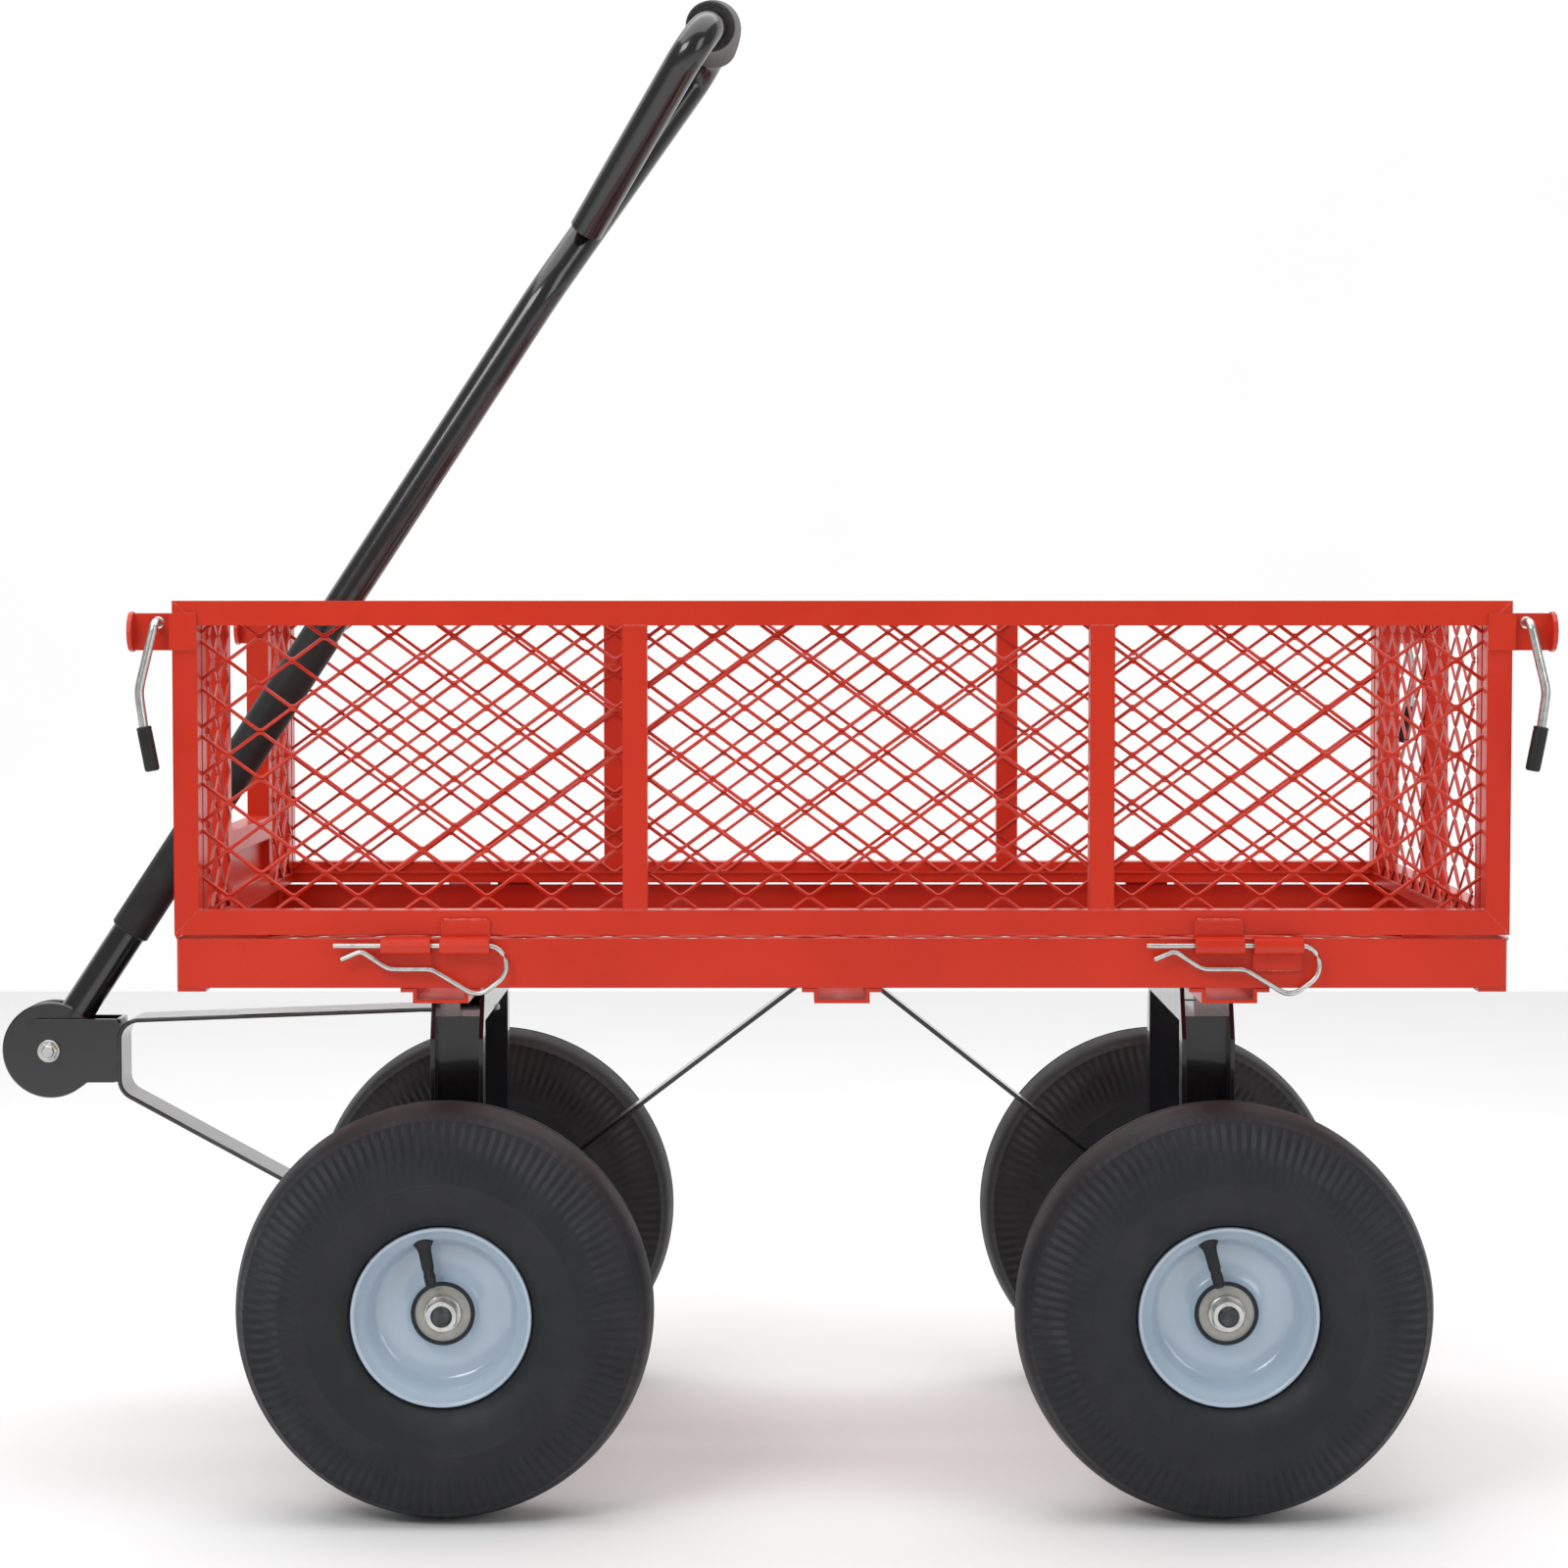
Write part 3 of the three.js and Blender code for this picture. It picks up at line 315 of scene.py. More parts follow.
def dark_steel():
    s = Shader("dark_steel").set(Metallic=0.7)
    s.color(s.noise(140, 5), [(0.3, (0.03, 0.03, 0.035)), (0.7, (0.10, 0.11, 0.12))])
    s.roughness(s.noise(200, 3), 0.3, 0.5)
    return s.relief(s.noise(700, 3), 0.0002, 0.4).material


def grip_foam():
    s = Shader("grip_foam").set(Sheen_Weight=0.35, Sheen_Roughness=0.5, Specular_IOR_Level=0.2)
    s.color(s.noise(500, 4), [(0.3, (0.018, 0.017, 0.018)), (0.7, (0.055, 0.052, 0.055))])
    s.roughness(s.noise(300, 3), 0.75, 0.95)
    return s.relief(s.noise(1400, 3), 0.0006, 0.6).material


def grip_rubber():
    s = Shader("grip_rubber").set(Specular_IOR_Level=0.4)
    s.color(s.noise(120, 4), [(0.3, (0.008, 0.008, 0.008)), (0.7, (0.016, 0.016, 0.016))])
    s.roughness(s.noise(180, 3), 0.4, 0.6)
    return s.relief(s.noise(800, 3), 0.0003, 0.4).material


def weld_metal():
    s = Shader("weld_metal").set(Coat_Weight=0.5, Coat_Roughness=0.12)
    s.color(s.noise(200, 4), [(0.3, (0.50, 0.024, 0.003)), (0.7, (0.68, 0.040, 0.007))])
    s.roughness(s.noise(300, 3), 0.25, 0.45)
    return s.relief(s.noise(450, 4), 0.0008, 0.7).material


def studio_floor():
    s = Shader("studio_floor").set(Specular_IOR_Level=0.1)
    s.color(s.noise(3, 2), [(0.3, (0.92, 0.92, 0.92)), (0.7, (0.94, 0.94, 0.94))])
    s.roughness(s.noise(8, 2), 0.85, 0.95)
    return s.relief(s.noise(60, 2), 0.0001, 0.1).material


def studio_wall():
    s = Shader("studio_wall").set(Emission_Strength=0.97)
    white = s.ramp(s.noise(2, 2), [(0.3, (0.98, 0.98, 0.98)), (0.7, (1, 1, 1))])
    s.links.new(white, s.base.inputs["Emission Color"])
    s.set(Base_Color=(0, 0, 0, 1))
    return s.relief(s.noise(20, 2), 0.0001, 0.1).material


RED = red_paint()
BLACK = black_paint()
SLEEVE_COAT = sleeve_coat()
ZINC = zinc()
ENAMEL = enamel()
TYRE = tyre_rubber()
BEARING = bearing_face()
DARK_STEEL = dark_steel()
FOAM = grip_foam()
GRIP_RUBBER = grip_rubber()
WELD = weld_metal()


# -------------------------------------------------------------- mesh building

def add_mesh(name, verts, faces, material, body, nodes=(), smooth_angle=35):
    """A finished piece: it rides on a body and stands for the nodes given."""
    mesh = bpy.data.meshes.new(name)
    mesh.from_pydata([tuple(v) for v in verts], [], faces)
    mesh.validate()
    mesh.materials.append(material)
    mesh.shade_smooth()
    mesh.set_sharp_from_angle(angle=math.radians(smooth_angle))
    piece = bpy.data.objects.new(name, mesh)
    bpy.context.scene.collection.objects.link(piece)
    if nodes:
        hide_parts(*nodes)
    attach(piece, body)
    return piece


class Build:
    """Vertices and faces gathered from several shapes."""

    def __init__(self):
        self.verts = []
        self.faces = []

    def extend(self, verts, faces):
        start = len(self.verts)
        self.verts.extend(verts)
        self.faces.extend([[start + i for i in face] for face in faces])
        return self

    def moved(self, matrix):
        self.verts = [matrix @ Vector(v) for v in self.verts]
        return self


def rounded(corners, step=8):
    """Points of a route whose corners are rounded; each corner is (point, radius)."""
    points = [Vector(corners[0][0])]
    for (before, _), (corner, radius), (after, _) in zip(corners, corners[1:], corners[2:]):
        corner = Vector(corner)
        inward = (corner - Vector(before)).normalized()
        outward = (Vector(after) - corner).normalized()
        angle = inward.angle(outward)
        axis = inward.cross(outward).normalized()
        start = corner - inward * radius * math.tan(angle / 2)
        centre = start + axis.cross(inward) * radius
        count = max(2, round(math.degrees(angle) / step))
        for k in range(count + 1):
            turn = Matrix.Rotation(angle * k / count, 3, axis)
            points.append(centre + turn @ (start - centre))
    points.append(Vector(corners[-1][0]))
    return points


def sweep(points, section, across, widths=None):
    """Sweeps a section of (u, v) pairs along points. across is the section's u axis
    at the start, carried along without twist. widths scales u at each point."""
    verts = []
    faces = []
    count = len(section)
    side = Vector(across).normalized()
    for i, point in enumerate(points):
        before = points[max(i - 1, 0)]
        after = points[min(i + 1, len(points) - 1)]
        along = ((point - before).normalized() + (after - point).normalized()).normalized()
        side = (side - along * side.dot(along)).normalized()
        up = along.cross(side)
        width = widths[i] if widths else 1
        verts += [point + side * u * width + up * v for u, v in section]
        if i:
            a = (i - 1) * count
            b = i * count
            faces += [[a + k, a + (k + 1) % count, b + (k + 1) % count, b + k] for k in range(count)]
    faces.append(list(reversed(range(count))))
    faces.append(list(range(len(verts) - count, len(verts))))
    return verts, faces


def circle(radius, sides=24):
    turn = 2 * math.pi / sides
    return [(radius * math.cos(turn * k), radius * math.sin(turn * k)) for k in range(sides)]


def revolved(profile, steps=72, shape=None, closed=True):
    """Turns (radius, y) pairs about Y. shape(angle, index, radius, y) may move a point."""
    verts = []
    faces = []
    count = len(profile)
    for k in range(steps):
        angle = 2 * math.pi * k / steps
        for i, (radius, y) in enumerate(profile):
            if shape:
                radius, y = shape(angle, i, radius, y)
            verts.append((radius * math.cos(angle), y, radius * math.sin(angle)))
    last = count if closed else count - 1
    for k in range(steps):
        a = k * count
        b = (k + 1) % steps * count
        faces += [[a + i, a + (i + 1) % count, b + (i + 1) % count, b + i] for i in range(last)]
    return verts, faces


def prism_y(outline, low, high):
    """Closed prism along Y from an (x, z) outline."""
    count = len(outline)
    verts = [(x, low, z) for x, z in outline] + [(x, high, z) for x, z in outline]
    faces = [[k, (k + 1) % count, count + (k + 1) % count, count + k] for k in range(count)]
    faces += [list(reversed(range(count))), list(range(count, 2 * count))]
    return verts, faces


def bevelled(piece, width, segments=3):
    """Rounds a piece's edges for good."""
    modifier = piece.modifiers.new("edges", "BEVEL")
    modifier.width = width
    modifier.segments = segments
    modifier.limit_method = "ANGLE"
    modifier.angle_limit = math.radians(40)
    bpy.context.view_layer.objects.active = piece
    with bpy.context.temp_override(object=piece, active_object=piece):
        bpy.ops.object.modifier_apply(modifier=modifier.name)
    return piece


def middle(node):
    low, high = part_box(node)
    return (low + high) / 2


# ------------------------------------------------------------- expanded sheet

def strand(points, flip):
    """One zigzag strand; its flat section leans as slit and stretched steel does."""
    lean = math.radians(32) * flip
    half_w = STRAND_WIDTH / 2
    half_g = STRAND_GAUGE / 2
    corners = [(-half_w, -half_g), (half_w, -half_g), (half_w, half_g), (-half_w, half_g)]
    section = [
        (u * math.cos(lean) - v * math.sin(lean), u * math.sin(lean) + v * math.cos(lean))
        for u, v in corners
    ]
    return sweep(points, section, (0, 1, 0))


def expanded_sheet(length, height):
    """Strands in the XY plane about the origin, cut off at the sheet's ends."""
    sheet = Build()
    rows = max(2, round(height / (MESH_RISE / 2)))
    pitch_y = height / rows
    swing = (pitch_y - STRAND_WIDTH) / 2
    half = MESH_PITCH / 2
    columns = math.ceil(length / 2 / half) + 1
    for row in range(rows):
        y = -height / 2 + pitch_y * (row + 0.5)
        zigzag = []
        for k in range(-columns, columns + 1):
            level = swing if (k + row) % 2 else -swing
            for x in (k * half - BOND_LENGTH / 2, k * half + BOND_LENGTH / 2):
                zigzag.append(Vector((x, y + level, 0)))
        inside = [p for p in zigzag if abs(p.x) <= length / 2]
        sheet.extend(*strand(inside, 1 if row % 2 else -1))
    for y in (-height / 2, height / 2):
        edge = [Vector((-length / 2, y, 0)), Vector((length / 2, y, 0))]
        sheet.extend(*strand(edge, 0))
    return sheet


def add_sheet(node, body, flat_axis):
    low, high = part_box(node)
    size = high - low
    if flat_axis == "z":
        sheet = expanded_sheet(size.x, size.y)
        turn = Matrix.Identity(4)
    elif flat_axis == "y":
        sheet = expanded_sheet(size.x, size.z)
        turn = Matrix.Rotation(math.pi / 2, 4, "X")
    else:
        sheet = expanded_sheet(size.y, size.z)
        turn = Matrix.Rotation(math.pi / 2, 4, "Z") @ Matrix.Rotation(math.pi / 2, 4, "X")
    sheet.moved(Matrix.Translation((low + high) / 2) @ turn)
    return add_mesh(f"{node}_strands", sheet.verts, sheet.faces, RED, body, [node])


# --------------------------------------------------------------------- wheels

def tread(angle, index, radius, y, count):
    """Cuts the radial grooves of the shoulder and waves the two ribs."""
    k = index if index < count else 2 * count - 1 - index
    groove = 0.5 + 0.5 * math.cos(angle * TREAD_GROOVES)
    if k in SHOULDER_RINGS:
        radius -= GROOVE_DEPTH * groove * GROOVE_FALL
        y -= math.copysign(GROOVE_DEPTH * groove, y)
    elif k in RIB_RINGS:
        wave = math.sin(angle * RIB_WAVES)
        y += math.copysign(RIB_SWING * wave, y)
    elif k == CROWN_RING:
        radius -= CROWN_CUT
    return radius, y


def add_wheel(place, side):
    node = f"{place}_tyre"
    body = f"{place}_wheel"
    low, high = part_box(node)
    centre = (low + high) / 2
    half_width = (high.y - low.y) / 2
    radius = (high.z - low.z) / 2
    rim_low, rim_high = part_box(f"{place}_rim")
    rim_radius = (rim_high.z - rim_low.z) / 2
    at = Matrix.Translation(centre)

    bead = rim_radius + 0.6 * MM
    half = [
        (bead + (r - DRAWN_BEAD) * MM * (radius - bead) / (DRAWN_DEPTH * MM),
         y * MM * half_width / (DRAWN_HALF_WIDTH * MM))
        for r, y in TYRE_HALF
    ]
    profile = half + [(r, -y) for r, y in reversed(half)]
    count = len(half)
    steps = TREAD_GROOVES * TREAD_STEPS
    verts, faces = revolved(profile, steps, lambda a, i, r, y: tread(a, i, r, y, count))
    shape = Build().extend(verts, faces).moved(at)
    add_mesh(f"{place}_tyre_tread", shape.verts, shape.faces, TYRE, body, [node], 40)

    rim_profile = [(r * MM * rim_radius / (DRAWN_RIM * MM), y * MM) for r, y in RIM_OUTLINE]
    rim = Build().extend(*revolved(rim_profile, 96)).moved(at)
    add_mesh(f"{place}_rim_dish", rim.verts, rim.faces, ENAMEL, body, [f"{place}_rim"], 50)

    hub = Build()
    for sign in (-1, 1):
        ring = [(r * MM, sign * y * MM) for r, y in BEARING_FACE]
        hub.extend(*revolved(ring, 64))
    hub.moved(at)
    add_mesh(f"{place}_bearing_face", hub.verts, hub.faces, BEARING, body,
             [f"{place}_bearing"])
    seal = Build().extend(*revolved([(r * MM, side * y * MM) for r, y in SEAL], 64)).moved(at)
    add_mesh(f"{place}_seal", seal.verts, seal.faces, GRIP_RUBBER, body)
    add_valve(place, side, at, body)


def add_valve(place, side, at, body):
    """Rubber valve stem, standing in from the rim's well towards the hub."""
    verts, faces = revolved([(max(r, 0.05) * MM, y * MM) for r, y in VALVE], 24, closed=False)
    stem = Build().extend(verts, faces)
    foot, tip = [Vector((x * MM, side * y * MM, z * MM)) for x, y, z in (VALVE_FOOT, VALVE_TIP)]
    turn = (tip - foot).to_track_quat("Y", "Z").to_matrix().to_4x4()
    stem.moved(at @ Matrix.Translation(foot) @ turn)
    add_mesh(f"{place}_valve", stem.verts, stem.faces, GRIP_RUBBER, body)


def add_axle(place, body, block_top):
    """Round bar with stop collars and chamfered ends, and a block in its middle."""
    node = f"{place}_axle"
    low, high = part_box(node)
    centre = middle(f"{place}_left_axle_nut")
    tip = (high.y - low.y) / 2 / MM
    half = AXLE_HALF + [(AXLE_END, tip - 1.2), (5.8, tip), (0.05, tip)]
    profile = [(r * MM, -y * MM) for r, y in reversed(half)] + [(r * MM, y * MM) for r, y in half]
    bar = Build().extend(*revolved(profile, 40, closed=False))
    width, drop, length = AXLE_BLOCK
    outline = [(-width, -drop), (width, -drop), (width, block_top), (-width, block_top)]
    bar.extend(*prism_y([(x * MM, z * MM) for x, z in outline], -length * MM, length * MM))
    bar.moved(Matrix.Translation((centre.x, 0, centre.z)))
    add_mesh(f"{node}_bar", bar.verts, bar.faces, DARK_STEEL, body, [node])


# ----------------------------------------------------------------- fastenings

def hexagon(across_flats, turn=0.0):
    radius = across_flats / 2 / math.cos(math.pi / 6)
    return [
        (radius * math.cos(turn + k * math.pi / 3), radius * math.sin(turn + k * math.pi / 3))
        for k in range(6)
    ]


def add_axle_nut(place, side, body):
    node = f"{place}_axle_nut"
    low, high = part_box(node)
    centre = (low + high) / 2
    inner = low.y if side > 0 else high.y
    washer = Build().extend(*revolved([(r * MM, y * MM) for r, y in AXLE_WASHER], 48))
    nut = Build()
    count = NUT_SIDES
    rings = []
    for y, shrink in NUT_LEVELS:
        ring = []
        for k in range(count):
            angle = 2 * math.pi * k / count
            facet = (angle + math.pi / 6) % (math.pi / 3) - math.pi / 6
            flat = NUT_FLAT / math.cos(facet)
            ring.append((min(flat, NUT_CORNER - shrink) * MM, angle, y * MM))
        rings.append(ring)
    ends = (NUT_LEVELS[-1][0] * MM, NUT_LEVELS[0][0] * MM)
    bore = [[(NUT_BORE * MM, angle, y) for _, angle, _ in rings[0]] for y in ends]
    loops = rings + bore
    verts = [(r * math.cos(a), y, r * math.sin(a)) for ring in loops for r, a, y in ring]
    faces = []
    for i in range(len(loops)):
        a = i * count
        b = (i + 1) % len(loops) * count
        faces += [[a + k, a + (k + 1) % count, b + (k + 1) % count, b + k] for k in range(count)]
    nut.extend(verts, faces)
    flip = Matrix.Scale(side, 4, (0, 1, 0))
    at = Matrix.Translation((centre.x, inner, centre.z)) @ flip
    both = Build().extend(washer.verts, washer.faces).extend(nut.verts, nut.faces).moved(at)
    add_mesh(f"{node}_set", both.verts, both.faces, ZINC, body, [node], 25)


def add_handle_bolt():
    """Threaded shank with a nut and washer at its near end and a head at the far one."""
    low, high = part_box("handle_bolt")
    near = low.y
    shank = Build().extend(*revolved([
        (0.05 * MM, 0), (3.6 * MM, 0), (4.4 * MM, 0.9 * MM), (4.6 * MM, 5 * MM), (5 * MM, 5 * MM),
        (5 * MM, high.y - near - 1 * MM), (0.05 * MM, high.y - near - 1 * MM),
    ], 32, closed=False))
    shank.extend(*revolved([(r * MM, y * MM) for r, y in BOLT_WASHER], 48))
    shank.extend(*prism_y(hexagon(BOLT_NUT_FLATS, 0.2), 1.0 * MM, 3.4 * MM))
    head = high.y - near
    shank.extend(*prism_y(hexagon(BOLT_HEAD_FLATS, 0.1), head - BOLT_HEAD_HEIGHT, head))
    x = middle("handle_bolt").x
    z = middle("handle_bolt").z
    shank.moved(Matrix.Translation((x, near, z)))
    add_mesh("handle_bolt_set", shank.verts, shank.faces, ZINC, "steering",
             ["handle_bolt"], 25)


# ------------------------------------------------------------ clips and levers

def add_clip(node, turn, body):
    """Wire hairpin clip in its hinge: a straight arm, an eye, and a waved arm."""
    low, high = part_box(node)
    centre = (low + high) / 2
    along = max(high.x - low.x, high.y - low.y)
    tail = -along / 2 + 0.2 * MM
    nose = along / 2 - CLIP_WIRE
    height = high.z - low.z
    axis = height / 2 - CLIP_WIRE
    foot = -height / 2 + CLIP_WIRE
    mid = (axis + foot) / 2
    corners = [
        ((tail, 0, axis), 0), ((nose - 6 * MM, 0, axis), 12 * MM),
        ((nose + 1.5 * MM, 0, mid), 14 * MM), ((nose - 20 * MM, 0, foot), 12 * MM),
        ((nose - 50 * MM, 0, mid + 1.5 * MM), 14 * MM),
        ((tail + 36 * MM, 0, mid + 1.5 * MM), 14 * MM),
        ((tail + 18 * MM, 0, axis - 3.4 * MM), 6 * MM), ((tail + 5 * MM, 0, axis - 9 * MM), 0),
    ]
    clip = Build().extend(*sweep(rounded(corners, 10), circle(CLIP_WIRE, 12), (0, 1, 0)))
    clip.moved(Matrix.Translation(centre) @ Matrix.Rotation(turn, 4, "Z"))
    add_mesh(f"{node}_wire", clip.verts, clip.faces, ZINC, body, [node], 60)


def add_latch(side, place, sign_x, sign_y):
    """Zinc lever bent from rod and the rubber sleeve on its tip."""
    body = f"latch_{side}_{place}"
    lever_node = f"latch_lever_{side}_{place}"
    grip_node = f"latch_grip_{side}_{place}"
    joint = next(j for j in frame["joints"] if j["child"] == body)
    pivot = Vector(joint["pos_m"])

    def point(x, out, z):
        return pivot + Vector((sign_x * x, sign_y * out, z)) * MM

    upper, lower, tip = [point(x, LEVER_OUT, z) for x, z in LEVER_HANG]
    arm = [
        (point(0, -LEVER_IN, 0), 0), (point(0, LEVER_TURN, 0), LEVER_TURN_BEND),
        (upper, LEVER_BEND), (lower, LEVER_BEND), (tip, 0),
    ]
    lever = Build().extend(*sweep(rounded(arm, 6), circle(LEVER_ROD, 16), (1, 0, 0)))
    add_mesh(f"{lever_node}_rod", lever.verts, lever.faces, ZINC, body, [lever_node], 60)
    up = (lower - tip).normalized()
    profile = [(r * MM, y * MM) for r, y in LEVER_GRIP]
    grip = Build().extend(*revolved(profile, 32, closed=False))
    grip.moved(Matrix.Translation(tip) @ up.to_track_quat("Y", "Z").to_matrix().to_4x4())
    add_mesh(f"{grip_node}_sleeve", grip.verts, grip.faces, GRIP_RUBBER, body,
             [grip_node], 40)


# --------------------------------------------------------------------- handle

HANDLE_JOINT = next(j for j in frame["joints"] if j["child"] == "handle")
PIVOT = Vector(HANDLE_JOINT["pos_m"])
SHAFT_WAY = Vector((math.cos(LEAN), 0, math.sin(LEAN)))


def on_handle(along, across):
    return PIVOT + SHAFT_WAY * along + Vector((0, across, 0))


def add_handle():
    """Bent tube with the drum on its foot, the sleeve over it and the foam on its loop."""
    shoulder, half = LOOP_SHOULDER
    route = rounded([
        (on_handle(SHAFT_START, 0), 0), (on_handle(SHAFT_STRAIGHT, 0), SHAFT_BEND),
        (on_handle(shoulder, half), CORNER_BEND), (on_handle(LOOP_CROWN, 0), CROWN_BEND),
        (on_handle(shoulder, -half), CORNER_BEND), (on_handle(*LOOP_END), 0),
    ], 5)
    tube = Build().extend(*sweep(route, circle(TUBE, 40), (0, 1, 0)))
    drum = [(r * MM, y * MM) for r, y in DRUM]
    wheel = Build().extend(*revolved(drum, 80)).moved(Matrix.Translation(PIVOT))
    tube.extend(wheel.verts, wheel.faces)
    add_mesh("handle_tube", tube.verts, tube.faces, BLACK, "handle",
             ["handle_shaft"], 40)

    start, end = SLEEVE
    lip = 1.2 * MM
    profile = [(TUBE + 0.2 * MM, 0), (SLEEVE_RADIUS - lip, 0), (SLEEVE_RADIUS, lip),
               (SLEEVE_RADIUS, end - start - lip), (SLEEVE_RADIUS - lip, end - start),
               (TUBE + 0.2 * MM, end - start)]
    turn = SHAFT_WAY.to_track_quat("Y", "Z").to_matrix().to_4x4()
    sleeve = Build().extend(*revolved(profile, 56))
    sleeve.moved(Matrix.Translation(on_handle(start, 0)) @ turn)
    add_mesh("handle_sleeve_tube", sleeve.verts, sleeve.faces, SLEEVE_COAT, "handle",
             ["handle_sleeve"], 40)

    bow = rounded([
        (on_handle(shoulder, half), 0), (on_handle(LOOP_CROWN, 0), CROWN_BEND),
        (on_handle(shoulder, -half), 0),
    ], 3)[1:-1]
    grip = Build()
    grip.extend(*sweep(bow, circle(GRIP_RADIUS, 48), (1, 0, 0)))
    piece = add_mesh("handle_grip_foam", grip.verts, grip.faces, FOAM, "handle",
                     ["handle_grip"], 40)
    bevelled(piece, 2 * MM)


# ------------------------------------------------------------- tongue and welds

def round_ends(points, radius):
    """Extra points near a strap's ends, and the widths that round them off."""
    first, second = points[0], points[1]
    last, before = points[-1], points[-2]
    steps = [1 - math.cos(math.pi / 2 * k / 7) for k in range(1, 8)]
    start = [first + (second - first).normalized() * radius * t for t in steps]
    end = [last + (before - last).normalized() * radius * t for t in reversed(steps)]
    inner = [1] * (len(points) - 2)
    widths = [max(0.02, math.sqrt(1 - (1 - t) ** 2)) for t in steps]
    return ([first, *start, *points[1:-1], *end, last],
            [0.02, *widths, *inner, *reversed(widths), 0.02])


def add_tongue():
    """Flat bar bent to a wedge, its ends rounded, and the clevis welded to it."""
    low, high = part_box("tongue")
    axle_x = middle("front_left_axle_nut").x
    half_gauge = TONGUE_GAUGE / 2
    upper = high.z - half_gauge
    lower = low.z + half_gauge
    front = axle_x - TONGUE_FRONT
    route = rounded([
        ((axle_x + TONGUE_EYE, 0, upper), 0),
        ((axle_x - TONGUE_UPPER_BEND, 0, upper), 60 * MM),
        ((front, 0, upper - 8 * MM), 14 * MM), ((front, 0, upper - TONGUE_DROP), 14 * MM),
        ((axle_x - TONGUE_LOWER_BEND, 0, lower), 20 * MM),
        ((axle_x + TONGUE_EYE, 0, lower), 0),
    ], 6)
    points, widths = round_ends(route, TONGUE_HALF)
    edge = 0.7 * MM
    w, g = TONGUE_HALF, half_gauge
    section = [(-w, -g + edge), (-w + edge, -g), (w - edge, -g), (w, -g + edge),
               (w, g - edge), (w - edge, g), (-w + edge, g), (-w, g - edge)]
    strap = Build().extend(*sweep(points, section, (0, 1, 0), widths))
    add_mesh("tongue_strap", strap.verts, strap.faces, BLACK, "steering",
             ["tongue"], 30)

    clevis = Build()
    half = CLEVIS_HEIGHT / 2
    nose = PIVOT.x - CLEVIS_NOSE
    corner = CLEVIS_CORNER
    cheek = []
    for x, z, turn in ((nose, -half, 180), (front, -half, 270), (front, half, 0), (nose, half, 90)):
        inset_x = corner if x == nose else -corner
        inset_z = corner if z < 0 else -corner
        for k in range(5):
            angle = math.radians(turn + 22.5 * k)
            cheek.append((x + inset_x + corner * math.cos(angle),
                          PIVOT.z + z + inset_z + corner * math.sin(angle)))
    for sign in (-1, 1):
        inner, outer = sorted((sign * CLEVIS_GAP / 2, sign * (CLEVIS_GAP / 2 + CLEVIS_GAUGE)))
        clevis.extend(*prism_y(cheek, inner, outer))
    back = [
        (front - CLEVIS_GAUGE, PIVOT.z - half), (front, PIVOT.z - half),
        (front, PIVOT.z + half), (front - CLEVIS_GAUGE, PIVOT.z + half),
    ]
    clevis.extend(*prism_y(back, -CLEVIS_GAP / 2, CLEVIS_GAP / 2))
    add_mesh("clevis_cheeks", clevis.verts, clevis.faces, BLACK, "steering")


def weld_bead(start, end, radius=1.5 * MM):
    """Rippled bead along a joint."""
    start = Vector(start)
    end = Vector(end)
    steps = max(4, round((end - start).length / (1.1 * MM)))
    verts = []
    faces = []
    count = 10
    along = (end - start).normalized()
    side = along.orthogonal().normalized()
    up = along.cross(side)
    for i in range(steps + 1):
        swell = radius * (0.72 + 0.28 * abs(math.sin(i * 1.9)) + 0.12 * math.sin(i * 0.7))
        if i in (0, steps):
            swell *= 0.4
        centre = start.lerp(end, i / steps)
        for u, v in circle(swell, count):
            verts.append(centre + side * u + up * v)
        if i:
            a = (i - 1) * count
            b = i * count
            faces += [[a + k, a + (k + 1) % count, b + (k + 1) % count, b + k] for k in range(count)]
    faces.append(list(reversed(range(count))))
    faces.append(list(range(len(verts) - count, len(verts))))
    return verts, faces


def add_side_welds(side, sign):
    """Beads where a side panel's uprights meet its rails, and across its mitres."""
    low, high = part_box(f"{side}_panel_mesh")
    front = low.x - SHEET_LAP
    rear = high.x + SHEET_LAP
    foot = low.z - SHEET_LAP
    top = high.z + SHEET_LAP
    face = low.y - FRAME_TUBE if sign < 0 else high.y + FRAME_TUBE
    bays = SIDE_BAYS if sign < 0 else tuple(reversed(SIDE_BAYS))
    half = 7.5 * MM
    welds = Build()
    for x in (front + bays[0], rear - bays[1]):
        for z in (foot + FRAME_TUBE, top - FRAME_TUBE):
            welds.extend(*weld_bead((x - half, face, z), (x + half, face, z), UPRIGHT_BEAD))
    for x, inward in ((front, 1), (rear, -1)):
        for z, up in ((foot, 1), (top, -1)):
            start = (x + inward * MM, face, z + up * MM)
            end = (x + inward * 2 * half, face, z + up * 2 * half)
            welds.extend(*weld_bead(start, end, MITRE_BEAD))
    bed = Build()
    for k in (1, 2):
        clip_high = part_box(f"hinge_clip_{side}_{k}")[1]
        line = clip_high.z - CLIP_WIRE
        near = face + sign * 1.4 * MM
        centre = (front + rear) / 2 + (-1 if (k == 1) == (sign < 0) else 1) * HINGE_SPACING / 2
        outward = 1 if centre > (front + rear) / 2 else -1
        beads = ((welds, -outward, line + HINGE_PLATE), (bed, outward, line - HINGE_PLATE))
        for piece, way, z in beads:
            ends = [centre + way * 4 * MM, centre + way * 34 * MM]
            piece.extend(*weld_bead((min(ends), near, z), (max(ends), near, z), HINGE_BEAD))
    add_mesh(f"{side}_panel_welds", welds.verts, welds.faces, WELD, f"{side}_panel")
    add_mesh(f"bed_welds_{side}", bed.verts, bed.faces, WELD, "bed")


# ---------------------------------------------------------------------- studio

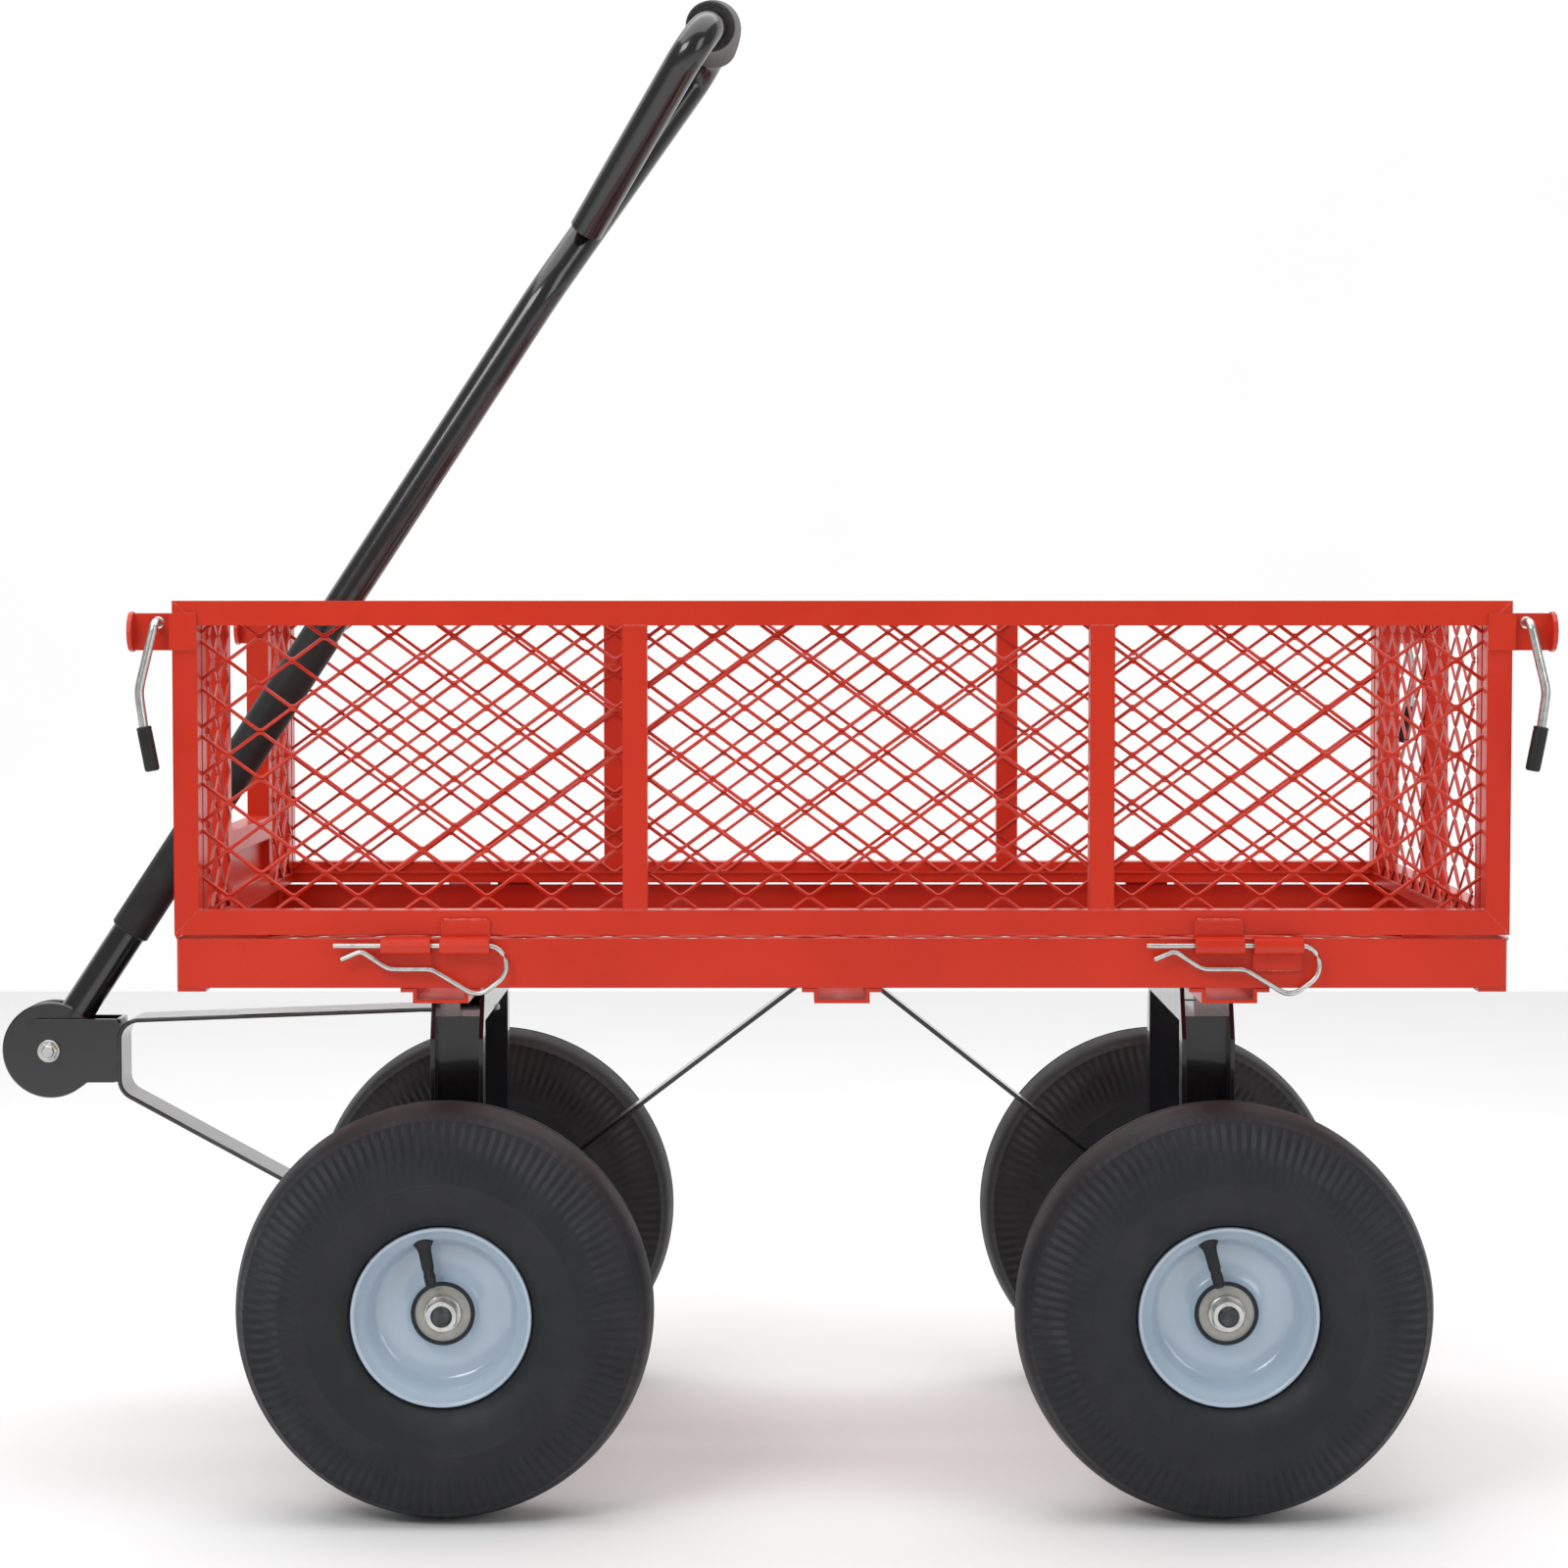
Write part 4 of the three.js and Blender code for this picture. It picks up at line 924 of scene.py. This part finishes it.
def add_camera():
    data = bpy.data.cameras.new("camera")
    data.lens = CAMERA_LENS
    data.sensor_width = 36
    camera = bpy.data.objects.new("camera", data)
    camera.location = CAMERA_PLACE
    camera.rotation_euler = (CAMERA_TILT, 0, 0)
    bpy.context.scene.collection.objects.link(camera)
    bpy.context.scene.camera = camera


def add_light(name, place, size, power):
    data = bpy.data.lights.new(name, "AREA")
    data.shape = "RECTANGLE"
    data.size, data.size_y = size
    data.energy = power
    light = bpy.data.objects.new(name, data)
    light.location = place
    way = Vector(LIGHT_TARGET) - Vector(place)
    light.rotation_euler = way.to_track_quat("-Z", "Y").to_euler()
    bpy.context.scene.collection.objects.link(light)


def add_plane(name, corners, material):
    mesh = bpy.data.meshes.new(name)
    mesh.from_pydata(corners, [], [(0, 1, 2, 3)])
    mesh.materials.append(material)
    plane = bpy.data.objects.new(name, mesh)
    bpy.context.scene.collection.objects.link(plane)


def add_studio():
    for light in LIGHTS:
        add_light(*light)
    world = bpy.data.worlds.new("studio")
    world.use_nodes = True
    background = world.node_tree.nodes["Background"]
    background.inputs["Color"].default_value = (1, 1, 1, 1)
    background.inputs["Strength"].default_value = WORLD_STRENGTH
    bpy.context.scene.world = world
    bpy.context.scene.view_settings.view_transform = "Standard"
    half = FLOOR_HALF
    wall = WALL_PLACE
    add_plane("floor", [(-half, -half, 0), (half, -half, 0), (half, wall, 0), (-half, wall, 0)],
              studio_floor())
    add_plane("backdrop", [(-half, wall, 0), (half, wall, 0), (half, wall, half),
                           (-half, wall, half)], studio_wall())


# -------------------------------------------------------------------- assembly

def paint_nodes():
    """The CAD nodes that stay get the same finishes as the finer pieces."""
    finishes = {"red_paint": RED, "black_paint": BLACK, "zinc": ZINC, "enamel": ENAMEL,
                "tyre_rubber": TYRE, "grip_foam": FOAM, "grip_rubber": GRIP_RUBBER}
    slots = {entry["node"]: entry["material_slot"] for entry in frame["record"]["subparts"]}
    for name, node in frame["nodes"].items():
        node.data.materials.clear()
        node.data.materials.append(finishes[slots[name]])


add_camera()
paint_nodes()
add_sheet("floor_mesh", "bed", "z")
add_sheet("front_panel_mesh_left", "bed", "x")
add_sheet("front_panel_mesh_right", "bed", "x")
add_sheet("rear_panel_mesh", "rear_panel", "x")
add_sheet("left_panel_mesh", "left_panel", "y")
add_sheet("right_panel_mesh", "right_panel", "y")
for wheel_place, wheel_side in WHEELS.items():
    add_wheel(wheel_place, wheel_side)
    nut_body = "steering" if wheel_place.startswith("front") else "bed"
    add_axle_nut(wheel_place, wheel_side, nut_body)
add_axle("front", "steering", 8)
add_axle("rear", "bed", 20.4)
for clip_side, clip_turn in {"left": 0, "right": math.pi, "front": -math.pi / 2,
                             "rear": math.pi / 2}.items():
    for clip_number in (1, 2):
        add_clip(f"hinge_clip_{clip_side}_{clip_number}", clip_turn, "bed")
for latch_side, latch_y in {"left": -1, "right": 1}.items():
    for latch_place, latch_x in {"front": -1, "rear": 1}.items():
        add_latch(latch_side, latch_place, latch_x, latch_y)
    add_side_welds(latch_side, latch_y)
add_tongue()
add_handle_bolt()
add_handle()
add_studio()
